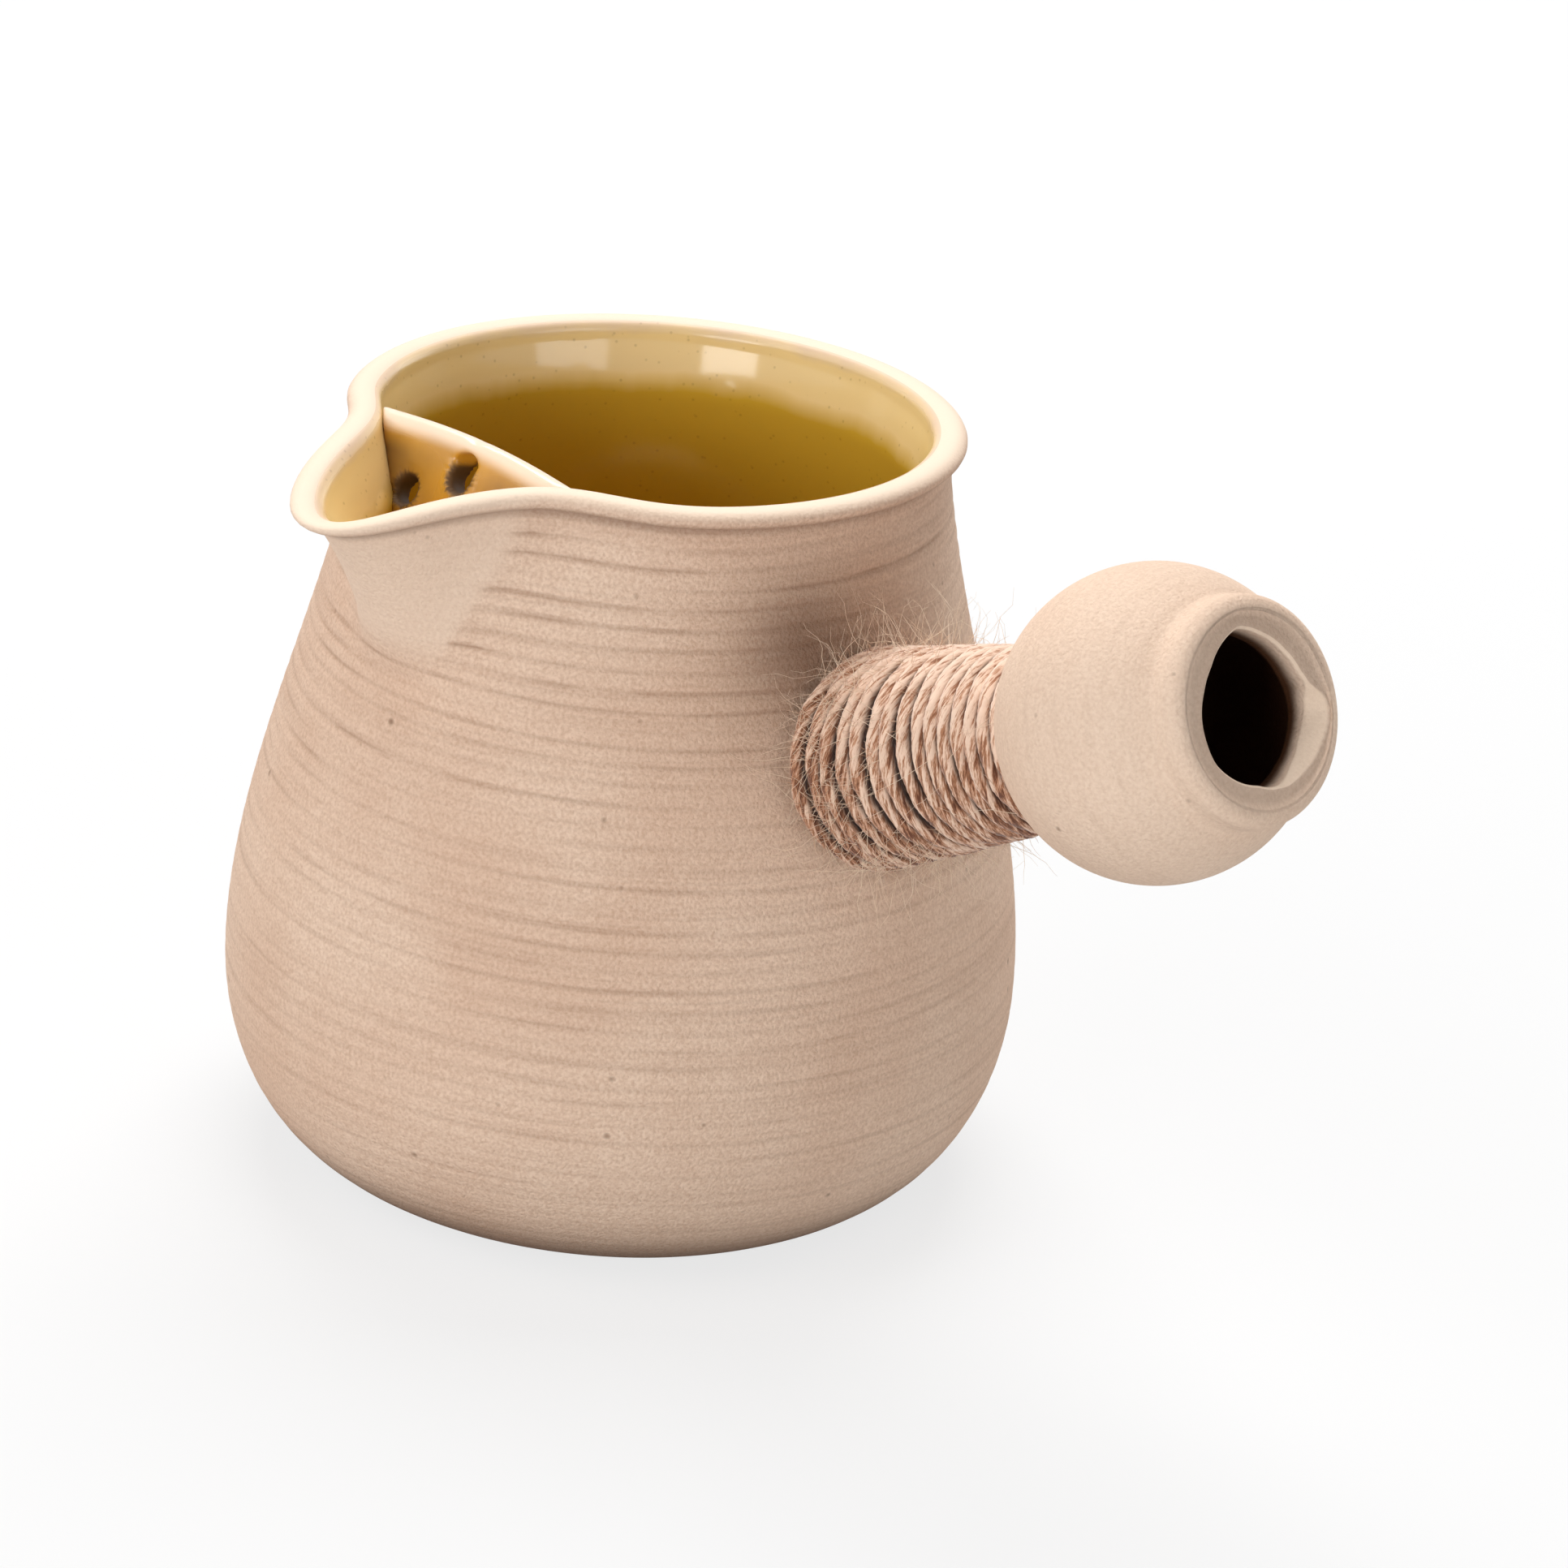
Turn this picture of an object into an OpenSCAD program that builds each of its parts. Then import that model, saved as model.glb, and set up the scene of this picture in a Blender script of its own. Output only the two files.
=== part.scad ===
// Side-handled stoneware pot with a pulled pouring lip and a pierced strainer wall behind it.
// The pot stands on z = 0 on its own axis, the handle points along +X and the lip along about -Y.
// Lengths are in millimetres, angles in degrees.

/* [Pot body] */
// Radius of the flat foot
foot_r = 34; // [30:0.5:38]
// Radius at the belly, the widest line of the pot
belly_r = 50; // [45:0.5:56]
// Height of the belly above the table
belly_z = 25; // [20:0.5:32]
// Outer radius of the neck, just under the rim
neck_r = 35.8; // [32:0.2:40]
// Height of the rim's top above the table
pot_h = 97.8; // [90:0.2:112]
// Wall thickness at the belly
belly_wall = 4; // [3:0.1:6]
// Wall thickness at the neck, under the flare of the rim
neck_wall = 4; // [3:0.1:5]
// Thickness of the floor
floor_t = 5; // [3.5:0.5:8]

/* [Rim] */
// How far the rolled rim stands out of the neck
bead_out = 2; // [0.8:0.1:3]
// Height of the rolled rim
bead_h = 2.4; // [1.6:0.1:4]
// How far the inside of the neck flares out towards the rim
flare_out = 1.9; // [0:0.1:2.4]
// Height of that flare
flare_h = 6.4; // [4:0.2:10]

/* [Pouring lip] */
// Direction of the lip, turned from the handle
lip_az = -88; // [-120:1:-60]
// How far the lip is pulled out of the round rim
lip_reach = 17.6; // [10:0.2:24]
// Angle from the lip's middle at which the pull has died down to a third
lip_spread = 15.5; // [13:0.5:22]
// How far the lip's tip dips under the level rim
lip_dip = 4.2; // [0:0.2:6]
// How far the rim rises on either side of the lip
lip_lift = 1; // [0:0.1:2]
// Height of the pulled throat, from its start on the neck to the rim
throat_h = 25.8; // [20:0.2:32]
// Share of the lip's spread that is left where its throat starts
throat_narrow = 0.55; // [0.4:0.05:1]
// Share by which the pull thins the inner half of the wall
lip_thin = 0.35; // [0:0.05:0.5]

/* [Glaze] */
// Thickness of the glaze coat inside the pot
glaze_t = 0.5; // [0.3:0.1:1]

/* [Strainer wall] */
// Distance from the pot's axis to the strainer's inner face, at its top edge
strainer_off = 27.4; // [26:0.2:30]
// How far the strainer's top edge lies under the rim's top
strainer_drop = 0.1; // [0:0.1:4]
// Thickness of the strainer wall
strainer_t = 3; // [2:0.1:4]
// Lean of the strainer, top towards the middle of the pot
strainer_lean = 25; // [22:1:32]
// Radius to which the strainer is bowed
strainer_bow = 140; // [90:5:240]
// Diameter of a strainer hole
hole_d = 5; // [3:0.1:5.6]
// Distance from the top edge to the first hole's middle
hole_first = 4.3; // [3.6:0.1:6]
// Step sideways from a middle hole to the holes beside it
hole_step_x = 7.7; // [7:0.1:9]
// Step down from one row of holes to the next
hole_step_z = 3.5; // [3:0.1:4.2]
// Number of rows of holes, one hole and two holes by turns
hole_rows = 3; // [1:1:3]

/* [Handle] */
// Height at which the handle's axis meets the pot's wall
handle_z = 66.4; // [58:0.2:72]
// Upward tilt of the handle
handle_tilt = 24.8; // [10:0.2:32]
// Length of the handle's axis, from the pot's wall to the collar's end
handle_len = 65.4; // [60:0.5:80]
// Radius of the bare stem at the pot's wall
stem_root_r = 12; // [10:0.1:14]
// Radius of the bare stem at the globe
stem_tip_r = 8.8; // [8:0.1:11]
// Radius of the bore through the stem
stem_bore_r = 5.6; // [3:0.1:6.4]
// Outer radius of the globe
globe_r = 18.1; // [16.5:0.1:21]
// Wall thickness of the globe
globe_wall = 3.4; // [2.4:0.1:4.4]
// Radius of the flat where the globe meets the wound stem
globe_flat_r = 11.2; // [10.8:0.1:12.4]
// Distance from the globe's middle to the collar's end
collar_out = 16.4; // [15.8:0.1:17.4]
// Outer radius of the collar
collar_r = 13; // [12.4:0.1:13.6]
// Radius of the collar's rounding
collar_round = 2.7; // [2.4:0.1:3]
// Depth of the collar's face inside its rounded edge
collar_dish = 0.7; // [0.3:0.1:1.5]
// Half width of the hand-cut end hole
end_hole_w = 9.8; // [6:0.1:10]
// Half height of the hand-cut end hole
end_hole_h = 9.8; // [6:0.1:10]
// Turn of the end hole about the handle's axis
end_hole_turn = -2; // [-20:1:20]

/* [Twine] */
// Diameter of the twine
twine_d = 1.3; // [1:0.05:1.35]
// Distance between neighbouring turns
twine_pitch = 1.76; // [1.76:0.02:2.4]
// Gap between the twine and the stem
twine_gap = 0.25; // [0.1:0.05:0.4]
// Radius of the bend at either end of the winding
twine_bend = 1.2; // [1:0.1:2]

/* [Curves] */
// Share of the foot's overhang that leaves the table nearly flat
foot_swell = 0.59; // [0.4:0.01:0.75]
// Share of the belly's height at which the foot's curve turns upright
foot_rise = 0.48; // [0.35:0.01:0.6]
// Share of the shoulder's height that stays as wide as the belly
shoulder_full = 0.33; // [0.2:0.01:0.45]
// Share of the shoulder's height at which the neck starts
shoulder_fall = 0.66; // [0.55:0.01:0.8]
// Share of the shoulder's width still left where the neck starts
shoulder_left = 0.18; // [0.12:0.01:0.4]
// Bulge of the end hole's sides, 1 for a diamond and 2 for an oval
end_hole_bulge = 1.35; // [1.1:0.05:2]

/* [Hidden] */
$fn = 96;

// Lift of the foot's curve where it leaves the table, as a share of the belly's height
foot_lift = 0.06;
// Level at which the rolled rim meets the neck
neck_z = pot_h - bead_h;
// Level at which the lip's throat starts, and just under it the end of the round lower pot
throat_z = pot_h - throat_h;
throat_room = 1;
cut_z = throat_z - throat_room;
// The upper pot reaches this deep into the lower one, inside its wall by these small steps
seam_depth = 0.6;
seam_out = 0.03;
seam_in = 0.12;
// Wall left at the rim, and the radius of its middle, which the lip is pulled from
rim_wall = neck_wall - flare_out;
mid_r = neck_r - rim_wall / 2;
// How late the flare bends outwards
flare_curve = 1.4;
// Steps of the foot's curve, the shoulder, the neck, the rim and once round the pot
foot_steps = 7;
shoulder_steps = 6;
neck_steps = 8;
bead_steps = 6;
round_steps = 54;
// Angles between which the rolled rim goes round, from under its outside over to the wall's inside
bead_from = -60;
bead_to = 180;
// How much more the dip keeps to the lip's tip and to the rim than the pull does
dip_focus = 2.5;
dip_rise = 2;
// Angle from the lip's middle to the rim's rise on either side
flank_turn = 2 * lip_spread;
// Share of the steps round the pot that are spread evenly, the rest crowd towards the lip
even_share = 0.5;
// How much the neck's steps crowd towards the rim
neck_crowd = 1.6;
// Clearance between the strainer wall and the glaze
strainer_gap = 0.05;
// Arc over which the bowed strainer is drawn, wider than the pot
strainer_arc = 2 * asin(neck_r / strainer_bow);
// How far the strainer's holes are cut to either side of its middle
hole_reach = 2 * strainer_t;
// How far the strainer's cutting form reaches below the throat and above the rim
form_below = 12;
form_above = 2;
// Handle, measured along its axis from the pot's wall
globe_s = handle_len - collar_out;
flat_s = globe_s - sqrt(pow(globe_r, 2) - pow(globe_flat_r, 2));
root_sink = stem_root_r;
end_hole_steps = 48;
// Twine, measured along the handle's axis
twine_seat = 0.3;
twine_loop_rings = 24;
twine_sides = 6;
bend_rings = 4;
follow_turns = 9;

function bezier(a, b, c, d, t) =
    a * pow(1 - t, 3) + 3 * b * t * pow(1 - t, 2) + 3 * c * t * t * (1 - t) + d * pow(t, 3);

// Point of the curve from a foot of radius r0 at height z0 up to a belly of radius r1
function foot_point(r0, z0, r1, t) =
    let (rise = belly_z - z0)
    bezier([r0, z0], [r0 + foot_swell * (r1 - r0), z0 + foot_lift * rise],
           [r1, z0 + foot_rise * rise], [r1, belly_z], t);

// Point of the curve from a belly of radius r0 up to a neck of radius r1
function shoulder_point(r0, r1, t) =
    let (rise = neck_z - belly_z)
    bezier([r0, belly_z], [r0, belly_z + shoulder_full * rise],
           [r1 + shoulder_left * (r0 - r1), belly_z + shoulder_fall * rise], [r1, neck_z], t);

// Depth 0 is the outside of the wall; depth 1 its inside, which flares at the rim; inset goes further in
function wall_point(depth, inset, t) =
    let (p = shoulder_point(belly_r - depth * belly_wall - inset, neck_r - depth * neck_wall - inset, t),
         rise = max(0, 1 - (neck_z - p[1]) / flare_h))
    [p[0] + depth * flare_out * pow(rise, flare_curve), p[1]];

// Place on the shoulder's curve at height z, found by halving
function shoulder_at(z, lo = 0, hi = 1, left = 30) =
    let (mid = (lo + hi) / 2)
    left == 0 ? mid
    : wall_point(0, 0, mid)[1] < z ? shoulder_at(z, mid, hi, left - 1)
    : shoulder_at(z, lo, mid, left - 1);

cut_t = shoulder_at(cut_z);
handle_r = wall_point(0, 0, shoulder_at(handle_z))[0];

// Half profile of the round lower pot, at a depth in the wall, from the foot up to the cut
function lower_profile(depth, inset) =
    let (r0 = foot_r - depth * belly_wall - inset,
         z0 = depth * floor_t + inset,
         r1 = belly_r - depth * belly_wall - inset)
    concat([for (i = [0 : foot_steps - 1]) foot_point(r0, z0, r1, i / foot_steps)],
           [for (i = [0 : shoulder_steps]) wall_point(depth, inset, cut_t * i / shoulder_steps)]);

function reversed(list) = [for (i = [len(list) - 1 : -1 : 0]) list[i]];

// Closed section between two half profiles, both ending on the pot's axis
function shell_section(outer, inner) =
    concat([[0, outer[0][1]]], outer, reversed(inner), [[0, inner[0][1]]]);

// Angle from the lip's middle at step i round the pot
function turn(i) =
    let (u = i / round_steps - 1)
    180 * (even_share * u + (1 - even_share) * pow(u, 3));

function lip_swell(a, spread) = exp(-pow(a / spread, 2));
function lip_height(z) = max(0, min(1, (z - throat_z) / throat_h));
function throat_spread(z) = lip_spread * (throat_narrow + (1 - throat_narrow) * lip_height(z));

// How far the finished rim lies under its level at angle a, less its rise on either side of the lip
function rim_sink(a) =
    lip_dip * pow(lip_swell(a, lip_spread), dip_focus)
    - lip_lift * lip_swell(abs(a) - flank_turn, lip_spread);

// Point of the pot at radius r, height z and angle a from the lip, with the lip pulled out
function lip_point(r, z, a) =
    let (spread = throat_spread(z),
         pull = lip_reach * lip_height(z) * lip_swell(a, spread),
         base = mid_r + pull,
         slope = -pull * 2 * a / pow(spread, 2) * 180 / PI,
         out = [base, -slope] / norm([base, slope]),
         thin = r < mid_r ? 1 - lip_thin * lip_height(z) * lip_swell(a, flank_turn) : 1,
         along = [base, 0] + thin * (r - mid_r) * out,
         turned = a + lip_az)
    [along[0] * cos(turned) - along[1] * sin(turned),
     along[0] * sin(turned) + along[1] * cos(turned),
     z - rim_sink(a) * pow(lip_height(z), dip_rise)];

function ring(point) = [for (i = [0 : 2 * round_steps - 1]) lip_point(point[0], point[1], turn(i))];

// Triangles between rings of equal length, with the last ring joined to the first when closed
function ring_faces(rings, count, closed) =
    [for (k = [0 : rings - (closed ? 1 : 2)], i = [0 : count - 1])
        let (a = k * count + i,
             b = k * count + (i + 1) % count,
             c = ((k + 1) % rings) * count + i,
             d = ((k + 1) % rings) * count + (i + 1) % count)
        each [[a, c, b], [b, c, d]]];

function flat(lists) = [for (list = lists) each list];

// Solid that sweeps a closed section round the pot and out into the lip
module lip_loft(section) {
    polyhedron(points = flat([for (point = section) ring(point)]),
               faces = ring_faces(len(section), 2 * round_steps, true));
}

// Place on the shoulder's curve at step i of the neck, which starts at place t
function neck_place(i, t) = 1 - (1 - t) * pow(1 - i / neck_steps, neck_crowd);

function neck_profile(depth, inset) =
    [for (i = [1 : neck_steps]) wall_point(depth, inset, neck_place(i, cut_t))];

// Two points that anchor the upper pot inside the lower one's wall
function seam_points(depth, inset, step) =
    let (edge = wall_point(depth, inset, cut_t))
    [[edge[0] + step, edge[1] - seam_depth], [edge[0] + step, edge[1]]];

// Rolled rim, from its underside over the top to the inside of the wall
bead_half = (bead_out + rim_wall) / 2;
bead_profile =
    [for (i = [0 : bead_steps])
        let (a = bead_from + i * (bead_to - bead_from) / bead_steps)
        [neck_r + bead_out - bead_half + bead_half * cos(a), pot_h - bead_h / 2 + bead_h / 2 * sin(a)]];

// Thrown pot: flat foot, full belly, narrowing neck, rolled rim and pulled lip
module pot_body() {
    color("#d9baa5") {
        rotate_extrude() polygon(shell_section(lower_profile(0, 0), lower_profile(1, 0)));
        lip_loft(concat(seam_points(0, 0, -seam_out), neck_profile(0, 0), bead_profile,
                        reversed(neck_profile(1, 0)), reversed(seam_points(1, 0, seam_in))));
    }
}

// Coat of glaze over the whole inside, up to just under the rolled rim
module glaze_lining() {
    color("#b07a2c") {
        rotate_extrude() polygon(shell_section(lower_profile(1, 0), lower_profile(1, glaze_t)));
        lip_loft(concat(seam_points(1, 0, -seam_out), neck_profile(1, 0),
                        reversed(neck_profile(1, glaze_t)), reversed(seam_points(1, glaze_t, seam_in))));
    }
}

// Space inside the glaze round the lip, which trims the strainer to its seat
module lip_space() {
    inset = glaze_t + strainer_gap;
    low_t = shoulder_at(throat_z - form_below);
    top = wall_point(1, inset, 1);
    wall = [for (i = [0 : neck_steps]) wall_point(1, inset, neck_place(i, low_t))];
    section = concat(wall, [[top[0], pot_h + form_above]]);
    count = 2 * round_steps;
    last = len(section) * count;
    sides = ring_faces(len(section), count, false);
    caps = [for (i = [0 : count - 1])
               each [[last, i, (i + 1) % count],
                     [last + 1, last - count + (i + 1) % count, last - count + i]]];
    polyhedron(points = concat(flat([for (point = section) ring(point)]),
                               [[0, 0, section[0][1]], [0, 0, pot_h + form_above]]),
               faces = concat(sides, caps));
}

// Places the strainer's own frame in the middle of its rounded edge: x across the lip, y out, z up
module on_strainer() {
    rotate([0, 0, lip_az - 90])
        translate([0, strainer_off + strainer_t / 2, pot_h - strainer_drop - strainer_t / 2])
            rotate([strainer_lean, 0, 0])
                children();
}

// Bowed slab with a rounded top edge, pierced by staggered rows of holes
module strainer_wall() {
    depth = (throat_h + form_below) / cos(strainer_lean);
    color("#c79453")
        difference() {
            intersection() {
                on_strainer()
                    translate([0, strainer_bow + strainer_t / 2, 0])
                        rotate([0, 0, -90 - strainer_arc / 2])
                            rotate_extrude(angle = strainer_arc)
                                translate([strainer_bow, 0]) {
                                    translate([0, -depth]) square([strainer_t, depth]);
                                    translate([strainer_t / 2, 0]) circle(d = strainer_t);
                                }
                lip_space();
            }
            on_strainer()
                for (row = [0 : hole_rows - 1], side = row % 2 == 0 ? [0] : [-1, 1])
                    translate([side * hole_step_x, 0, strainer_t / 2 - hole_first - row * hole_step_z])
                        rotate([90, 0, 0])
                            cylinder(d = hole_d, h = 2 * hole_reach, center = true);
        }
}

// Places the handle's own frame: z out along its axis from the pot's wall
module on_handle() {
    translate([handle_r, 0, handle_z])
        rotate([0, 90 - handle_tilt, 0])
            children();
}

function stem_r(s) = stem_root_r + (stem_tip_r - stem_root_r) * s / flat_s;

// Outline of the hand-cut end hole
function soft_diamond() =
    [for (i = [0 : end_hole_steps - 1])
        let (a = i * 360 / end_hole_steps,
             x = sign(cos(a)) * pow(abs(cos(a)), 2 / end_hole_bulge),
             y = sign(sin(a)) * pow(abs(sin(a)), 2 / end_hole_bulge))
        [end_hole_h * x, end_hole_w * y]];

// Half of a circle on the handle's axis, for turning
module half_disc(r, s) {
    intersection() {
        translate([0, s]) circle(r);
        translate([0, s - 2 * r]) square([2 * r, 4 * r]);
    }
}

// Hollow thrown handle: tapered stem, globe with a flat at the stem, and a collar with a cut hole
module side_handle() {
    color("#ccad98")
        difference() {
            on_handle()
                difference() {
                    rotate_extrude() {
                        polygon([[0, -root_sink], [stem_r(-root_sink), -root_sink],
                                 [stem_tip_r, flat_s], [stem_tip_r, globe_s], [0, globe_s]]);
                        difference() {
                            half_disc(globe_r, globe_s);
                            translate([0, flat_s - globe_r]) square([globe_r, globe_r]);
                        }
                        translate([collar_r - collar_round, handle_len - collar_round])
                            circle(collar_round);
                        translate([0, globe_s])
                            square([collar_r - collar_round, collar_out - collar_dish]);
                    }
                    rotate_extrude() half_disc(globe_r - globe_wall, globe_s);
                    translate([0, 0, -2 * root_sink])
                        cylinder(r = stem_bore_r, h = 2 * root_sink + globe_s);
                    translate([0, 0, globe_s])
                        rotate([0, 0, end_hole_turn])
                            linear_extrude(globe_r + collar_out)
                                polygon(soft_diamond());
                }
            rotate_extrude()
                polygon(concat([[0, 0]], lower_profile(0, 0), neck_profile(0, 0), [[0, neck_z]]));
        }
}

// Where a line along the handle at radius r and angle a leaves the pot's wall, found by halving
function wall_at(r, a, lo = -stem_root_r, hi = stem_root_r, left = 20) =
    let (mid = (lo + hi) / 2,
         p = handle_point(r, a, mid),
         inside = norm([p[0], p[1]]) < wall_point(0, 0, shoulder_at(p[2]))[0])
    left == 0 ? mid : inside ? wall_at(r, a, mid, hi, left - 1) : wall_at(r, a, lo, mid, left - 1);

// Place along the handle at which the twine clears the wall, at each step of a turn
twine_r = twine_d / 2;
wall_clear = [for (k = [0 : twine_loop_rings - 1])
    max([for (r = [0, twine_d]) wall_at(stem_root_r + twine_gap + r, 360 * k / twine_loop_rings)])];
wall_top = max(wall_clear);

// Start and end of the winding along the handle's axis, and its number of whole turns
wind_from = wall_top + twine_seat + twine_d + twine_bend;
wind_to = flat_s - twine_seat - twine_d - twine_bend;
turns = floor((wind_to - wind_from) / twine_pitch);

// The first turns lie along the pot's wall and the later ones square to the stem
function wall_fall(k) =
    (wall_clear[k % twine_loop_rings] - wall_top) * max(0, 1 - k / (follow_turns * twine_loop_rings));

// Point at radius r and angle a round the handle's axis, s along it
function handle_point(r, a, s) =
    [handle_r + s * cos(handle_tilt) + r * cos(a) * sin(handle_tilt),
     r * sin(a),
     handle_z + s * sin(handle_tilt) - r * cos(a) * cos(handle_tilt)];

function twine_centre_r(s) = stem_r(s) + twine_gap + twine_r;

// Angle that an arc of this length takes up on the stem
function twine_angle(arc, s) = arc / twine_centre_r(s) * 180 / PI;

// Path of the twine as [place along the axis, angle]: straight, bend, winding, bend, straight
wind_rings = turns * twine_loop_rings;
wind_low = wind_from + wall_fall(0);
twine_path = concat(
    [[wind_low - twine_bend - twine_d, -twine_angle(twine_bend, wind_low)]],
    [for (k = [0 : bend_rings - 1])
        let (b = 90 * k / bend_rings)
        [wind_low - twine_bend * (1 - sin(b)), -twine_angle(twine_bend * cos(b), wind_low)]],
    [for (k = [0 : wind_rings])
        [wind_from + (wind_to - wind_from) * k / wind_rings + wall_fall(k), 360 * k / twine_loop_rings]],
    [for (k = [1 : bend_rings])
        let (b = 90 * k / bend_rings)
        [wind_to + twine_bend * (1 - cos(b)), 360 * turns + twine_angle(twine_bend * sin(b), wind_to)]],
    [[wind_to + twine_bend + twine_d, 360 * turns + twine_angle(twine_bend, wind_to)]]);

function twine_point(k) =
    let (step = twine_path[k])
    handle_point(twine_centre_r(step[0]), step[1], step[0]);

twine_points = [for (k = [0 : len(twine_path) - 1]) twine_point(k)];

function unit(v) = v / norm(v);

// Ring of the twine's tube, square to its path and turned with the stem's surface
function twine_ring(k) =
    let (last = len(twine_points) - 1,
         along = unit(twine_points[min(last, k + 1)] - twine_points[max(0, k - 1)]),
         step = twine_path[k],
         spoke = handle_point(1, step[1], 0) - handle_point(0, step[1], 0),
         side = unit(cross(spoke, along)),
         out = cross(along, side))
    [for (i = [0 : twine_sides - 1])
        let (a = 360 * i / twine_sides)
        twine_points[k] + twine_r * (cos(a) * side + sin(a) * out)];

// Least gap between the twine and its next turn, measured on the path's points
twine_last = len(twine_points) - 1;
twine_near = twine_loop_rings - bend_rings;
twine_far = twine_loop_rings + 2 * bend_rings;
twine_least_gap = min([
    for (k = [0 : twine_last], j = [k + twine_near : min(twine_last, k + twine_far)])
        norm(twine_points[k] - twine_points[j])]) - twine_d;
echo(twine_turns = turns, twine_least_gap = twine_least_gap);

// One unbroken length of twine wound round the stem
module twine_wrap() {
    rings = len(twine_points);
    caps = [for (i = [1 : twine_sides - 2])
               each [[0, i, i + 1],
                     [(rings - 1) * twine_sides, (rings - 1) * twine_sides + i + 1,
                      (rings - 1) * twine_sides + i]]];
    color("#a7826d")
        polyhedron(points = flat([for (k = [0 : rings - 1]) twine_ring(k)]),
                   faces = concat(ring_faces(rings, twine_sides, false), caps));
}

pot_body();
glaze_lining();
strainer_wall();
side_handle();
twine_wrap();
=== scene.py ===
import math
from functools import partial
import bpy
import bmesh
import numpy as np
from mathutils import Matrix, Vector


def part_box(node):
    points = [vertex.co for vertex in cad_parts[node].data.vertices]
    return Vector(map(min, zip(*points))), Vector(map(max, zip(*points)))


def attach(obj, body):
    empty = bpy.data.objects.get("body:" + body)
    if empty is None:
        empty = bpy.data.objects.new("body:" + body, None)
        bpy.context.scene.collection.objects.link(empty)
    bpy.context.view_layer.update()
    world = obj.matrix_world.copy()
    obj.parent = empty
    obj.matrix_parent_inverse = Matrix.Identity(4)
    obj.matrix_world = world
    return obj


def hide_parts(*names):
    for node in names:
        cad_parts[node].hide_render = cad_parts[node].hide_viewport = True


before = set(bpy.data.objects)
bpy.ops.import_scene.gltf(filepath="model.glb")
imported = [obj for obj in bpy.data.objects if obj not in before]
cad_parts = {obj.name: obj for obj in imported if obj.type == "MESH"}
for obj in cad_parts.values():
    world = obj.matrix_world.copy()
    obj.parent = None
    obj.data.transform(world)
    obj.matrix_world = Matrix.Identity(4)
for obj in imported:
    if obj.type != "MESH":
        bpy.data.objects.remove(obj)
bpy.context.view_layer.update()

mm = 0.001
scene = bpy.context.scene
scene.view_settings.view_transform = "Standard"


# Helpers for trees and meshes

def linear(code):
    values = [int(code[i:i + 2], 16) / 255 for i in (1, 3, 5)]
    return [v / 12.92 if v <= 0.04045 else ((v + 0.055) / 1.055) ** 2.4 for v in values] + [1.0]


# A node with its settings. An input takes a value, a socket, or a node, which gives its first live output
def addNode(tree, kind, inputs=None, **settings):
    node = tree.nodes.new(kind)
    for name, value in settings.items():
        setattr(node, name, value)
    for key, value in (inputs or {}).items():
        if isinstance(value, bpy.types.Node):
            value = next(socket for socket in value.outputs if socket.enabled)
        if isinstance(value, bpy.types.NodeSocket):
            tree.links.new(value, node.inputs[key])
        else:
            node.inputs[key].default_value = value
    return node


def perMm(size):
    return 1 / (size * mm)  # texture scale at which one feature is this many millimetres


def newMaterial(name):
    material = bpy.data.materials.new(name)
    material.use_nodes = True
    material.node_tree.nodes.clear()
    return material, material.node_tree


def newObject(name, data, material=None):
    obj = bpy.data.objects.new(name, data)
    scene.collection.objects.link(obj)
    if material:
        obj.data.materials.append(material)
    return obj


def setAttribute(mesh, name, values):
    layer = mesh.attributes.new(name, "FLOAT", "POINT")
    layer.data.foreach_set("value", np.ascontiguousarray(values, dtype=np.float32).ravel())


def shadeSmooth(mesh):
    mesh.polygons.foreach_set("use_smooth", np.ones(len(mesh.polygons), dtype=bool))


# Mesh from rings of points in mm, with a pole at either end and one value per point for each attribute
def ringMesh(name, rings, poles, attributes):
    rows, count = rings.shape[:2]
    index = np.arange(rows * count).reshape(rows, count)
    ahead = np.roll(index, -1, axis=1)
    quads = np.stack([index[:-1], ahead[:-1], ahead[1:], index[1:]], axis=-1).reshape(-1, 4)
    first, last = rows * count, rows * count + 1
    faces = quads.tolist()
    faces += [(first, ahead[0, i], index[0, i]) for i in range(count)]
    faces += [(last, index[-1, i], ahead[-1, i]) for i in range(count)]
    points = np.vstack([rings.reshape(-1, 3), np.array(poles)]) * mm
    mesh = bpy.data.meshes.new(name)
    mesh.from_pydata(points.tolist(), [], faces)
    shadeSmooth(mesh)
    for key, values in attributes.items():
        ends = [values[0].mean(), values[-1].mean()]
        setAttribute(mesh, key, np.concatenate([values.ravel(), ends]))
    return mesh


# Points at even steps along a profile of (radius, height)
def evenly(profile, step):
    lengths = np.concatenate([[0], np.cumsum(np.hypot(*np.diff(profile, axis=0).T))])
    places = np.linspace(0, lengths[-1], max(2, int(round(lengths[-1] / step)) + 1))
    return np.column_stack([np.interp(places, lengths, profile[:, k]) for k in (0, 1)])


def smoothStep(low, high, values):
    t = np.clip((values - low) / (high - low), 0, 1)
    return t * t * (3 - 2 * t)


# A tree with named inputs for its sizes and its counts
def newTree(name, sizes, counts=""):
    tree = bpy.data.node_groups.new(name, "GeometryNodeTree")
    tree.interface.new_socket("Geometry", in_out="INPUT", socket_type="NodeSocketGeometry")
    for kind, labels in (("Float", sizes), ("Int", counts)):
        for label in labels.split():
            tree.interface.new_socket(label, in_out="INPUT", socket_type="NodeSocket" + kind)
    tree.interface.new_socket("Geometry", in_out="OUTPUT", socket_type="NodeSocketGeometry")
    return tree, addNode(tree, "NodeGroupInput").outputs


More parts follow.
